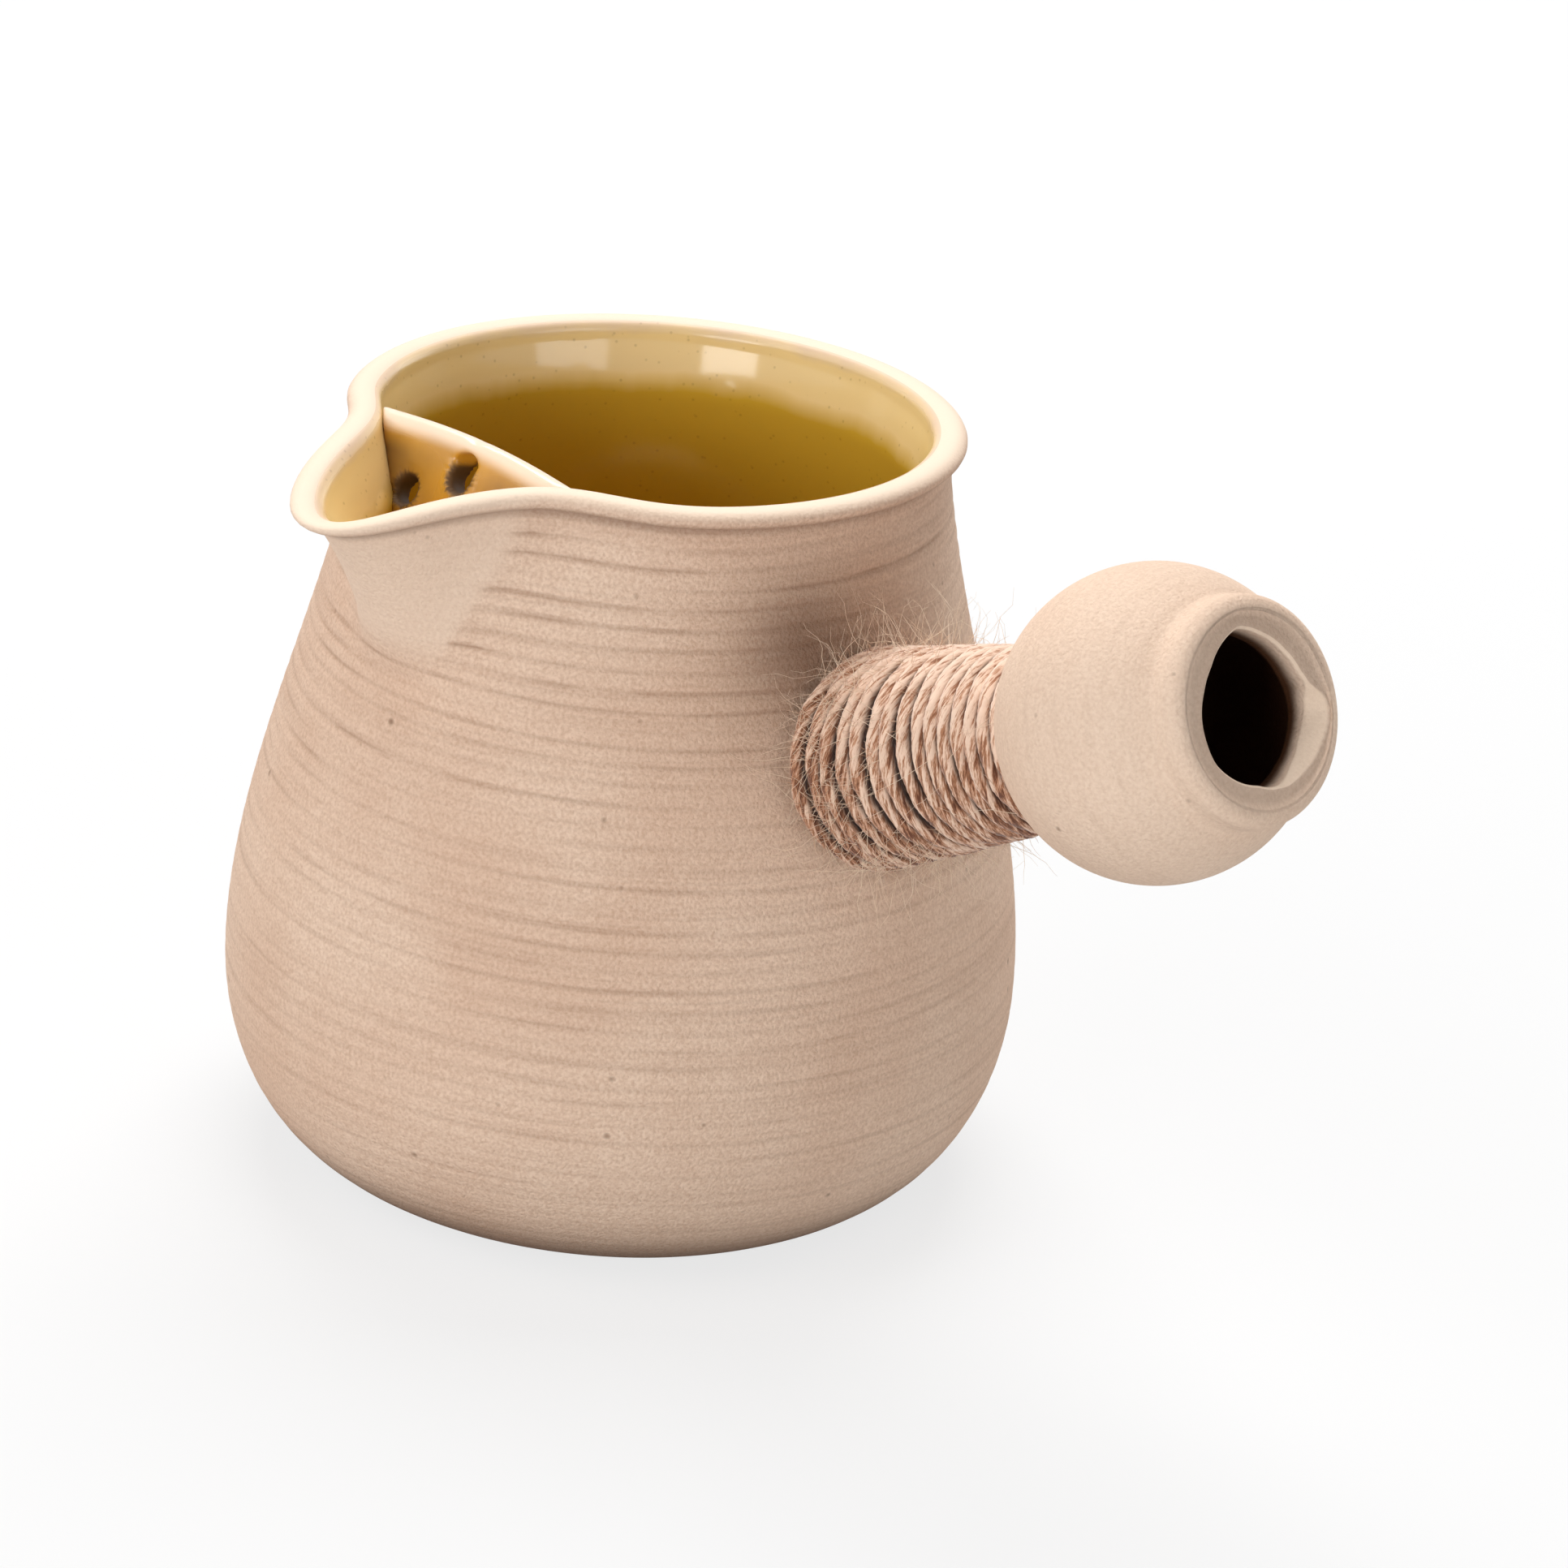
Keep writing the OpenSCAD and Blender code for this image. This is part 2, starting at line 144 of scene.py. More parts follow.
# Every tree ends in real geometry with its material
def endTree(tree, geometry, material):
    real = addNode(tree, "GeometryNodeRealizeInstances", {0: geometry})
    dressed = addNode(tree, "GeometryNodeSetMaterial", {"Geometry": real, "Material": material})
    addNode(tree, "NodeGroupOutput", {0: dressed})


# A modifier from a tree, with its inputs set by the sockets' identifiers before it is evaluated
def addTree(obj, tree, **values):
    modifier = obj.modifiers.new(tree.name, "NODES")
    sockets = {item.name: item.identifier for item in tree.interface.items_tree if item.in_out == "INPUT"}
    modifier.node_group = tree
    for name, value in values.items():
        modifier[sockets[name]] = value


# The evaluated object as a plain mesh of its own, with the modifiers gone
def plainMesh(obj):
    graph = bpy.context.evaluated_depsgraph_get()
    made = obj.evaluated_get(graph)
    mesh = bpy.data.meshes.new_from_object(made, preserve_all_data_layers=True, depsgraph=graph)
    shadeSmooth(mesh)
    obj.modifiers.clear()
    return mesh


def standFor(obj, node):
    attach(obj, "root")
    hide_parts(node)


# Pot shape shared by the body, the glaze and the strainer, in mm and degrees

pot = {
    "footR": 34.0, "bellyR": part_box("pot_body")[1][0] / mm, "bellyZ": 25.0, "neckR": 35.8, "rimZ": 97.8,
    "bellyWall": 4.0, "neckWall": 4.0, "floor": 5.0,
    "footSwell": 0.59, "footLift": 0.06, "footRise": 0.48,
    "shoulderFull": 0.33, "shoulderFall": 0.66, "shoulderLeft": 0.18,
    "beadOut": 2.0, "beadH": 2.4, "flareOut": 1.9, "flareH": 6.4, "flareCurve": 1.08,
    "lipAz": -88.0, "lipReach": 17.6, "lipSpread": 15.5, "lipDip": 4.2, "lipLift": 1.0,
    "throatH": 25.8, "throatNarrow": 0.55, "lipThin": 0.35, "dipFocus": 2.5, "dipRise": 2.0,
    "around": 256, "evenShare": 0.75,
}
neckZ = pot["rimZ"] - pot["beadH"]
throatZ = pot["rimZ"] - pot["throatH"]
rimWall = pot["neckWall"] - pot["flareOut"]
midR = pot["neckR"] - rimWall / 2
beadHalf = (pot["beadOut"] + rimWall) / 2
beadR = pot["neckR"] + pot["beadOut"] - beadHalf
beadZ = pot["rimZ"] - pot["beadH"] / 2


def bezier(a, b, c, d, t):
    a, b, c, d = (np.array(p) for p in (a, b, c, d))
    t = np.asarray(t, dtype=float)[:, None]
    return a * (1 - t) ** 3 + 3 * b * t * (1 - t) ** 2 + 3 * c * t ** 2 * (1 - t) + d * t ** 3


# Depth 0 is the outside of the wall and 1 its inside; inset goes further in
def footCurve(depth, inset, t):
    r0 = pot["footR"] - depth * pot["bellyWall"] - inset
    z0 = depth * pot["floor"] + inset
    r1 = pot["bellyR"] - depth * pot["bellyWall"] - inset
    rise = pot["bellyZ"] - z0
    return bezier((r0, z0), (r0 + pot["footSwell"] * (r1 - r0), z0 + pot["footLift"] * rise),
                  (r1, z0 + pot["footRise"] * rise), (r1, pot["bellyZ"]), t)


def shoulderCurve(depth, inset, t):
    r0 = pot["bellyR"] - depth * pot["bellyWall"] - inset
    r1 = pot["neckR"] - depth * pot["neckWall"] - inset
    rise = neckZ - pot["bellyZ"]
    curve = bezier((r0, pot["bellyZ"]), (r0, pot["bellyZ"] + pot["shoulderFull"] * rise),
                   (r1 + pot["shoulderLeft"] * (r0 - r1), pot["bellyZ"] + pot["shoulderFall"] * rise),
                   (r1, neckZ), t)
    bend = np.clip(1 - (neckZ - curve[:, 1]) / pot["flareH"], 0, 1) ** pot["flareCurve"]
    curve[:, 0] += depth * pot["flareOut"] * bend
    return curve


def wallCurve(depth, inset):
    return np.vstack([footCurve(depth, inset, np.linspace(0, 1, 60)),
                      shoulderCurve(depth, inset, np.linspace(0, 1, 200)[1:])])


outerWall = wallCurve(0, 0)


def wallRadius(z):
    return np.interp(z, outerWall[:, 1], outerWall[:, 0])


def swell(offset, spread):
    return np.exp(-(offset / spread) ** 2)


def lipHeight(z):
    return np.clip((z - throatZ) / pot["throatH"], 0, 1)


def throatSpread(z):
    return pot["lipSpread"] * (pot["throatNarrow"] + (1 - pot["throatNarrow"]) * lipHeight(z))


# Angles round the pot, measured from the lip and closer together near it
def potAngles():
    half = pot["around"] // 2
    u = np.arange(2 * half) / half - 1
    return 180 * (pot["evenShare"] * u + (1 - pot["evenShare"]) * u ** 3)


# Rings of points of a profile turned round the pot, with the lip pulled out of them
def pullLip(profile, angles):
    r, z, a = profile[:, :1], profile[:, 1:], angles[None, :]
    high = lipHeight(z)
    spread = throatSpread(z)
    flank = 2 * pot["lipSpread"]
    pull = pot["lipReach"] * high * swell(a, spread)
    base = midR + pull
    slope = -pull * 2 * a / spread ** 2 * 180 / math.pi
    length = np.hypot(base, slope)
    thin = np.where(r < midR, 1 - pot["lipThin"] * high * swell(a, flank), 1)
    outward = base + thin * (r - midR) * base / length
    sideways = -thin * (r - midR) * slope / length
    turned = np.radians(a + pot["lipAz"])
    dip = pot["lipDip"] * swell(a, pot["lipSpread"]) ** pot["dipFocus"]
    lift = pot["lipLift"] * swell(np.abs(a) - flank, pot["lipSpread"])
    return np.stack([outward * np.cos(turned) - sideways * np.sin(turned),
                     outward * np.sin(turned) + sideways * np.cos(turned),
                     z - (dip - lift) * high ** pot["dipRise"]], axis=-1)


# Camera at the photo's angle

photoCamera = {
    "target": (0, 0, 45), "distance": 650, "azimuth": 48.23, "elevation": 23.18, "roll": 4.01,
    "aimRight": 0.02956, "aimUp": 0.00408, "lens": 118.8, "sensor": 36.0,
}


def directionTo(azimuth, elevation):
    a, e = math.radians(azimuth), math.radians(elevation)
    return Vector((math.sin(a) * math.cos(e), -math.cos(a) * math.cos(e), math.sin(e)))


def makeCamera():
    back = directionTo(photoCamera["azimuth"], photoCamera["elevation"])
    right = Vector((0, 0, 1)).cross(back).normalized()
    up = back.cross(right)
    roll = math.radians(photoCamera["roll"])
    right, up = (math.cos(roll) * right + math.sin(roll) * up, math.cos(roll) * up - math.sin(roll) * right)
    aim = (photoCamera["aimRight"] * right + photoCamera["aimUp"] * up - back).normalized()
    right = (right - right.dot(aim) * aim).normalized()
    up = right.cross(aim)
    camera = bpy.data.cameras.new("photoCamera")
    camera.lens = photoCamera["lens"]
    camera.sensor_width = photoCamera["sensor"]
    obj = newObject("photoCamera", camera)
    place = (Vector(photoCamera["target"]) + photoCamera["distance"] * back) * mm
    obj.matrix_world = Matrix.Translation(place) @ Matrix((right, up, -aim)).transposed().to_4x4()
    scene.camera = obj


makeCamera()
print("stage: camera set")


# Throwing rings: narrow grooves between soft bands, left by the fingers, which come and go round the clay

throwing = {
    "drift": (0.5, 6.0), "strength": (1.0, 1.2), "broken": (4.0, 0.7),  # noises: reach round, pitches up
    "fadeFrom": 0.36, "fadeTo": 0.66, "faintest": 0.15, "bandShare": 0.3,
    "breakFrom": 0.36, "breakTo": 0.6, "weakest": 0.5, "strongest": 1.4,
}


def ringsTree():
    tree, given = newTree("throwingRings", "Pitch Width Depth Wander Seed")
    add = partial(addNode, tree)
    clay = {name: add("GeometryNodeInputNamedAttribute", {"Name": name})
            for name in ("along", "around", "ringShare")}
    level = add("ShaderNodeMath", {0: clay["along"], 1: given["Pitch"]}, operation="DIVIDE")
    x, y = (add("ShaderNodeMath", {0: clay["around"]}, operation=side) for side in ("COSINE", "SINE"))
    place = add("ShaderNodeCombineXYZ", {0: x, 1: y, 2: level})
    drawn = {}
    for name in ("drift", "strength", "broken"):
        reach, pitches = throwing[name]
        spot = add("ShaderNodeVectorMath", {0: place, 1: (reach, reach, 1 / pitches)}, operation="MULTIPLY")
        drawn[name] = add("ShaderNodeTexNoise", {
            "Vector": spot, "W": given["Seed"], "Scale": 1.0, "Detail": 1.0}, noise_dimensions="4D")
    phase = add("ShaderNodeMath", {0: drawn["drift"], 1: given["Wander"], 2: level}, operation="MULTIPLY_ADD")
    aside = add("ShaderNodeMath", {0: phase, 1: 0.5}, operation="PINGPONG")  # pitches from the nearest groove
    wide = add("ShaderNodeMath", {0: given["Width"], 1: given["Pitch"]}, operation="DIVIDE")
    line = add("ShaderNodeMapRange", {0: aside, 1: wide, 2: 0.0}, interpolation_type="SMOOTHSTEP")
    comes = add("ShaderNodeMapRange", {
        0: drawn["strength"], 1: throwing["fadeFrom"], 2: throwing["fadeTo"], 3: throwing["faintest"]},
        interpolation_type="SMOOTHSTEP")
    broken = add("ShaderNodeMapRange", {
        0: drawn["broken"], 1: throwing["breakFrom"], 2: throwing["breakTo"], 3: throwing["weakest"],
        4: throwing["strongest"]}, interpolation_type="SMOOTHSTEP")
    strength = comes
    for share in (broken, clay["ringShare"]):
        strength = add("ShaderNodeMath", {0: strength, 1: share}, operation="MULTIPLY")
    groove = add("ShaderNodeMath", {0: line, 1: strength}, operation="MULTIPLY")
    turn = add("ShaderNodeMath", {0: phase, 1: 2 * math.pi}, operation="MULTIPLY")
    band = add("ShaderNodeMath", {0: turn}, operation="COSINE")
    height = add("ShaderNodeMath", {0: band, 1: throwing["bandShare"], 2: line}, operation="MULTIPLY_ADD")
    for share in (strength, given["Depth"], -mm):
        height = add("ShaderNodeMath", {0: height, 1: share}, operation="MULTIPLY")
    normal = add("GeometryNodeInputNormal")
    offset = add("ShaderNodeVectorMath", {0: normal, "Scale": height}, operation="SCALE")
    # The groove's share is kept for the painted shade in the grooves
    kept = add("GeometryNodeStoreNamedAttribute", {
        "Geometry": given["Geometry"], "Name": "groove", "Value": groove})
    endTree(tree, add("GeometryNodeSetPosition", {"Geometry": kept, "Offset": offset}), stoneware)
    return tree


# Unglazed buff stoneware, thrown and fired: matt and sandy, with a soft paler blush that comes and goes,
# fine dark iron specks, and a thin cream glaze over the rim that turns smooth and pale. A brown, partly the
# firing's browning and partly painted shade and shadow, darkens the foot, the crease under the rim, the wall
# beside the handle and the collar's face; the ring grooves get painted shade and the hollow handle a dark
# painted shade inside. Real sand grains are about 0.2 mm, drawn here at twice that to show

stonewareLook = {
    "light": "#f0d4bd", "mid": "#e6c6ae", "deep": "#b98d6f", "groove": "#875b3d", "toast": "#5f3f2a",
    "rim": "#f4dfc8", "wiped": "#f4dcc6", "speck": "#76523a", "hollow": "#4a2c18",
    "blushMm": 26.0, "blushFrom": 0.35, "blushTo": 0.65, "sandMm": 0.42, "sandFrom": 0.36, "sandTo": 0.7,
    "combMm": 0.8, "combFrom": 0.5, "combTo": 0.75, "speckMm": 3.4, "speckRare": 0.7, "speckWide": 0.18,
    "speckEdge": 0.12, "grainMm": 0.4, "grainLift": 0.1, "sandLift": 0.6, "combLift": 0.8, "rimLift": 0.15,
    "sandShare": 0.42, "wipedSand": 0.18, "wipedShare": 0.55, "combShare": 0.14, "wipedComb": 0.04,
    "grooveShare": 0.25, "speckShare": 0.6, "matt": 0.8, "rimGloss": 0.5, "shine": 0.18,
}


def makeStoneware():
    look = stonewareLook
    material, tree = newMaterial("unglazedStoneware")
    add = partial(addNode, tree)
    place = add("ShaderNodeTexCoord").outputs["Object"]
    clay = {name: add("ShaderNodeAttribute", attribute_name=name).outputs["Fac"]
            for name in ("along", "around", "groove", "toast", "rimGlaze", "hollow", "wiped")}

    blush = add("ShaderNodeTexNoise", {"Vector": place, "Scale": perMm(look["blushMm"]), "Detail": 2.0})
    blush = add("ShaderNodeMapRange", {0: blush, 1: look["blushFrom"], 2: look["blushTo"]})
    sand = add("ShaderNodeTexNoise", {"Vector": place, "Scale": perMm(look["sandMm"]), "Detail": 4.0})
    sand = add("ShaderNodeMapRange", {0: sand, 1: look["sandFrom"], 2: look["sandTo"]})
    x, y = (add("ShaderNodeMath", {0: clay["around"]}, operation=side) for side in ("COSINE", "SINE"))
    z = add("ShaderNodeMath", {0: clay["along"], 1: look["combMm"]}, operation="DIVIDE")
    comb = add("ShaderNodeCombineXYZ", {0: x, 1: y, 2: z})  # fine drag lines round the wheel
    comb = add("ShaderNodeTexNoise", {"Vector": comb, "Scale": 1.0, "Detail": 2.0})
    cells = add("ShaderNodeTexVoronoi", {"Vector": place, "Scale": perMm(look["speckMm"])})
    chance = add("ShaderNodeSeparateColor", {0: cells.outputs["Color"]})
    size = add("ShaderNodeMapRange", {0: chance, 1: look["speckRare"], 2: 1.0, 4: look["speckWide"]})
    speck = add("ShaderNodeMath", {0: size, 1: cells.outputs["Distance"]}, operation="SUBTRACT")

    wiped = add("ShaderNodeMath", {0: clay["wiped"], 1: look["wipedShare"]}, operation="MULTIPLY")
    sandy = add("ShaderNodeMapRange", {0: clay["wiped"], 3: look["sandShare"], 4: look["wipedSand"]})
    sandy = add("ShaderNodeMath", {0: sand, 1: sandy}, operation="MULTIPLY")
    drag = add("ShaderNodeMapRange", {0: clay["wiped"], 3: look["combShare"], 4: look["wipedComb"]})
    combed = add("ShaderNodeMapRange", {0: comb, 1: look["combFrom"], 2: look["combTo"], 4: drag})
    # Painted shade in the ring grooves
    grooved = add("ShaderNodeMath", {0: clay["groove"], 1: look["grooveShare"]}, operation="MULTIPLY")
    speckled = add("ShaderNodeMapRange", {0: speck, 1: 0.0, 2: look["speckEdge"], 4: look["speckShare"]})
    colour = linear(look["mid"])
    # Painted shade: the groove brown in the ring grooves, the toast brown (partly browning, partly painted
    # shade and shadow) and the hollow colour inside the handle; the pale rim colour is also a painted
    # highlight on the handle's facet
    for share, name in ((blush, "light"), (wiped, "wiped"), (sandy, "deep"), (combed, "groove"),
                        (grooved, "groove"), (clay["toast"], "toast"), (speckled, "speck"),
                        (clay["rimGlaze"], "rim"), (clay["hollow"], "hollow")):  # each lies over the last
        colour = add("ShaderNodeMix", {0: share, 6: colour, 7: linear(look[name])}, data_type="RGBA")

    rough = add("ShaderNodeMapRange", {0: clay["rimGlaze"], 3: look["matt"], 4: look["rimGloss"]})
    grain = add("ShaderNodeTexNoise", {"Vector": place, "Scale": perMm(look["grainMm"]), "Detail": 2.0})
    for part, lift in ((sand, look["sandLift"]), (comb, look["combLift"])):
        grain = add("ShaderNodeMath", {0: part, 1: lift, 2: grain}, operation="MULTIPLY_ADD")
    bare = add("ShaderNodeMapRange", {0: clay["rimGlaze"], 3: 1.0, 4: look["rimLift"]})
    bump = add("ShaderNodeBump", {"Strength": bare, "Distance": look["grainLift"] * mm, "Height": grain})
    shader = add("ShaderNodeBsdfPrincipled", {
        "Base Color": colour, "Roughness": rough, "IOR": 1.5, "Specular IOR Level": look["shine"],
        "Normal": bump})
    add("ShaderNodeOutputMaterial", {0: shader})
    return material


stoneware = makeStoneware()
rings = ringsTree()

# Pot body: foot, belly, neck, rolled rim and pulled lip, as one closed shell of thrown clay

potBody = {
    "wallStep": 0.33, "beadStep": 0.36, "insideStep": 3.0, "beadFrom": -60, "rimTurn": (-10, 80),
    "bottomR": (6, 14, 22, 28, 31.5, 33.4), "floorR": (22, 12),
    "ringPitch": 2.4, "ringWidth": 0.55, "ringDepth": 0.08, "ringWander": 1.2, "seed": 3.0,
    "bareFoot": (2, 9), "bareNeck": (0.6, 3), "faintRings": (60, 30), "bellyRings": 0.7, "neckRings": 0.5,
    # Darker foot and crease under the rim: partly browning, partly painted shade
    "toastFoot": 13.0, "toastFocus": 1.6, "toastMost": 0.95,
    "toastRim": 0.45, "toastUnder": (1.6, 0.2), "toastOver": (0, -50),
    # Painted shadow of the handle on the wall beside its joint
    "flashMost": 0.65, "flashTurn": 76, "flashWide": 13, "flashZ": 81, "flashTall": 8,
    "throatStart": (1, 7), "throatTaper": 0.55, "taperTop": 4, "throatFrom": 1.3, "throatTo": 1.7,
    "throatTeeth": 0.3, "teethWide": 0.35, "throatFolds": 0.8, "foldsBelow": 3, "foldsTall": 6,
    "foldsWide": 1.6,
}


def makePotBody():
    made = potBody
    angles = potAngles()
    bottom = np.array([(r, 0.0) for r in made["bottomR"]])
    wall = evenly(outerWall, made["wallStep"])
    arc = np.radians(np.linspace(made["beadFrom"], 180, 80))
    bead = np.column_stack([beadR + beadHalf * np.cos(arc), beadZ + pot["beadH"] / 2 * np.sin(arc)])
    bead = evenly(bead, made["beadStep"])
    over = np.degrees(np.arctan2((bead[:, 1] - beadZ) / pot["beadH"] * 2, (bead[:, 0] - beadR) / beadHalf))
    over = np.where(over < -90, 180, over)
    inside = evenly(wallCurve(1, 0)[::-1], made["insideStep"])
    floor = np.array([(r, pot["floor"]) for r in made["floorR"]])
    profile = np.vstack([bottom, wall, bead, inside, floor])
    onWall = slice(len(bottom), len(bottom) + len(wall))
    onBead = slice(onWall.stop, onWall.stop + len(bead))
    z = profile[:, 1:]

    along = np.zeros(len(profile))
    along[onWall] = np.arange(len(wall)) * made["wallStep"]
    along[onBead.start:] = along[onWall][-1]
    toNeck = along[onWall][-1] - along[onWall]
    share = np.zeros(len(profile))
    share[onWall] = smoothStep(*made["bareFoot"], along[onWall]) * smoothStep(*made["bareNeck"], toNeck)
    share *= 1 - (1 - made["bellyRings"]) * smoothStep(*made["faintRings"], z[:, 0])  # fainter low down

    # Fingers wiped the throat smooth; the rings break off at its sides and bunch up under it
    aside = np.abs(angles)[None, :] / throatSpread(z)
    high = smoothStep(*made["throatStart"], z - throatZ)
    narrow = smoothStep(pot["rimZ"] - made["taperTop"], throatZ + made["throatStart"][0], z)
    narrow = 1 - (1 - made["throatTaper"]) * narrow
    throat = high * smoothStep(made["throatTo"] * narrow, made["throatFrom"] * narrow, aside)
    teeth = high * made["throatTeeth"] * swell(aside - made["throatTo"], made["teethWide"])
    folds = made["throatFolds"] * swell(z - throatZ + made["foldsBelow"], made["foldsTall"])
    folds = folds * swell(angles[None, :], made["foldsWide"] * pot["lipSpread"])
    ringShare = share[:, None] * (1 - throat) * (1 + teeth + folds + made["neckRings"] * high)

    # The foot darkens towards the bottom and the clay under the rim is browner: partly the firing's browning,
    # partly painted shade under the foot's curve and in the crease beneath the bead. Beside the handle's
    # joint lies a painted shadow of the handle
    toast = np.zeros(len(profile))
    toast[:onWall.stop] = smoothStep(made["toastFoot"], 0, z[:onWall.stop, 0]) ** made["toastFocus"]
    toast *= made["toastMost"]
    # Painted shade, with some browning, in the crease under the rolled rim and on the bead's underside
    toast[onWall] = np.maximum(toast[onWall], made["toastRim"] * smoothStep(*made["toastUnder"], toNeck))
    toast[onBead] = made["toastRim"] * smoothStep(*made["toastOver"], over)
    # A painted shadow of the handle on the wall beside its joint
    flash = made["flashMost"] * swell(angles[None, :] - made["flashTurn"], made["flashWide"])
    flash = flash * swell(z - made["flashZ"], made["flashTall"])
    flash[onWall.stop:] = 0
    rim = np.zeros(len(profile))
    rim[onBead] = smoothStep(*made["rimTurn"], over)
    rim[onBead.stop:] = 1

    ones = np.ones((len(profile), len(angles)))
    attributes = {
        "along": along[:, None] * ones, "around": np.radians(angles)[None, :] * ones, "ringShare": ringShare,
        "toast": np.maximum(toast[:, None], flash), "rimGlaze": rim[:, None] * ones, "hollow": 0 * ones,
        "wiped": throat}
    mesh = ringMesh("thrownPot", pullLip(profile, angles), [(0, 0, 0), (0, 0, pot["floor"])], attributes)
    obj = newObject("thrownPot", mesh, stoneware)
    addTree(obj, rings, Pitch=made["ringPitch"], Width=made["ringWidth"], Depth=made["ringDepth"],
            Wander=made["ringWander"], Seed=made["seed"])
    obj.data = plainMesh(obj)
    standFor(obj, "pot_body")


makePotBody()
print("stage: pot body thrown")


# Amber iron glaze, poured inside and fired to a gloss: honey where it is thin at the rim, where it also dries
# out a little, and brown where it is deep

amberLook = {
    "thin": "#e1c3a4", "honey": "#fbdb99", "deep": "#d7ad38", "pool": "#cba01d", "fleck": "#7a4c14",
    "streakMm": 7.0, "runDown": 0.18, "pinMm": 1.6, "pinEdge": 0.16, "pinFull": 0.06, "fleckShare": 0.25,
    "pitWide": 0.12, "pitDeep": 0.15, "waveMm": 9.0, "waveLift": 0.05, "waveShare": 0.2, "gloss": 0.1,
    "thinGloss": 0.5,
    "honeyFrom": 0.7, "honeyAt": 2.4, "deepFrom": 7.0, "deepAt": 9.6, "poolAt": 60.0,  # mm below the edge
}


def makeAmberGlaze():
    look = amberLook
    material, tree = newMaterial("amberGlaze")
    add = partial(addNode, tree)
    place = add("ShaderNodeTexCoord").outputs["Object"]
    below = add("ShaderNodeAttribute", attribute_name="belowRim").outputs["Fac"]
    run = add("ShaderNodeMapping", {"Vector": place, "Scale": (1, 1, look["runDown"])})
    streak = add("ShaderNodeTexNoise", {"Vector": run, "Scale": perMm(look["streakMm"]), "Detail": 3.0})
    drift = add("ShaderNodeMapRange", {0: streak, 3: -1.0, 4: 1.0})
    level = add("ShaderNodeMath", {0: below, 1: drift})
    colour = linear(look["thin"])
    for name, start, end in (("honey", "honeyFrom", "honeyAt"), ("deep", "deepFrom", "deepAt"),
                             ("pool", "deepAt", "poolAt")):
        share = add("ShaderNodeMapRange", {0: level, 1: look[start], 2: look[end]})
        colour = add("ShaderNodeMix", {0: share, 6: colour, 7: linear(look[name])}, data_type="RGBA")
    pins = add("ShaderNodeTexVoronoi", {"Vector": place, "Scale": perMm(look["pinMm"])})
    fleck = add("ShaderNodeMapRange", {
        0: pins, 1: look["pinEdge"], 2: look["pinFull"], 4: look["fleckShare"]})
    colour = add("ShaderNodeMix", {0: fleck, 6: colour, 7: linear(look["fleck"])}, data_type="RGBA")
    wave = add("ShaderNodeTexNoise", {"Vector": place, "Scale": perMm(look["waveMm"]), "Detail": 1.0})
    pit = add("ShaderNodeMapRange", {0: pins, 1: 0.0, 2: look["pitWide"], 4: look["pitDeep"]})
    height = add("ShaderNodeMath", {0: wave, 1: pit})
    bump = add("ShaderNodeBump", {
        "Strength": look["waveShare"], "Distance": look["waveLift"] * mm, "Height": height})
    rough = add("ShaderNodeMapRange", {
        0: level, 1: look["honeyFrom"], 2: look["honeyAt"], 3: look["thinGloss"], 4: look["gloss"]})
    shader = add("ShaderNodeBsdfPrincipled", {
        "Base Color": colour, "Roughness": rough, "IOR": 1.5, "Normal": bump})
    add("ShaderNodeOutputMaterial", {0: shader})
    return material


amberGlaze = makeAmberGlaze()

# Glaze lining: a coat over the whole inside, which runs up over the rolled rim and thins out to nothing there

lining = {"thick": 0.62, "edge": 0.06, "step": 0.7, "behindStep": 2.5, "thinFrom": 0.8, "thinOver": 9.0,
          "endTurn": 112.0, "sunk": 0.15, "underR": (8, 20), "overR": (24, 16, 8)}


def liningWall(inset):
    turn = np.radians(np.linspace(180, lining["endTurn"], 20))
    bead = np.column_stack([beadR + (beadHalf + inset) * np.cos(turn),
                            beadZ + (pot["beadH"] / 2 + inset) * np.sin(turn)])
    return np.vstack([wallCurve(1, inset), bead])


def makeGlazeLining():
    angles = potAngles()
    behind = evenly(liningWall(-lining["sunk"]), lining["behindStep"])
    front = evenly(liningWall(0), lining["step"])[::-1]
    fromEdge = np.arange(len(front)) * lining["step"]
    thin = np.clip((fromEdge - lining["thinFrom"]) / lining["thinOver"], 0, 1)
    run = np.gradient(front, axis=0)
    run /= np.hypot(run[:, 0], run[:, 1])[:, None]
    coat = lining["edge"] + (lining["thick"] - lining["edge"]) * thin
    coat -= (lining["edge"] + lining["sunk"]) * smoothStep(lining["thinFrom"], 0, fromEdge)
    front = front + coat[:, None] * np.column_stack([run[:, 1], -run[:, 0]])
    underZ = pot["floor"] - lining["sunk"]
    overZ = pot["floor"] + lining["thick"]
    under = np.array([(r, underZ) for r in lining["underR"]])
    over = np.array([(r, overZ) for r in lining["overR"]])
    profile = np.vstack([under, behind, front, over])
    below = np.full(len(profile), fromEdge[-1])
    below[len(under):len(under) + len(behind)] = np.linspace(fromEdge[-1], 0, len(behind))
    below[len(under) + len(behind):-len(over)] = fromEdge
    marks = {"belowRim": below[:, None] * np.ones((1, len(angles)))}
    mesh = ringMesh("amberLining", pullLip(profile, angles), [(0, 0, underZ), (0, 0, overZ)], marks)
    standFor(newObject("amberLining", mesh, amberGlaze), "glaze_lining")


makeGlazeLining()
print("stage: inside glazed")


# Strainer wall: a slab of clay under the same glaze, which pulls thin and pale along the cut edge and is
# darker in the holes and in the corner against the pot's wall, partly glaze pooled there and partly painted
# shade

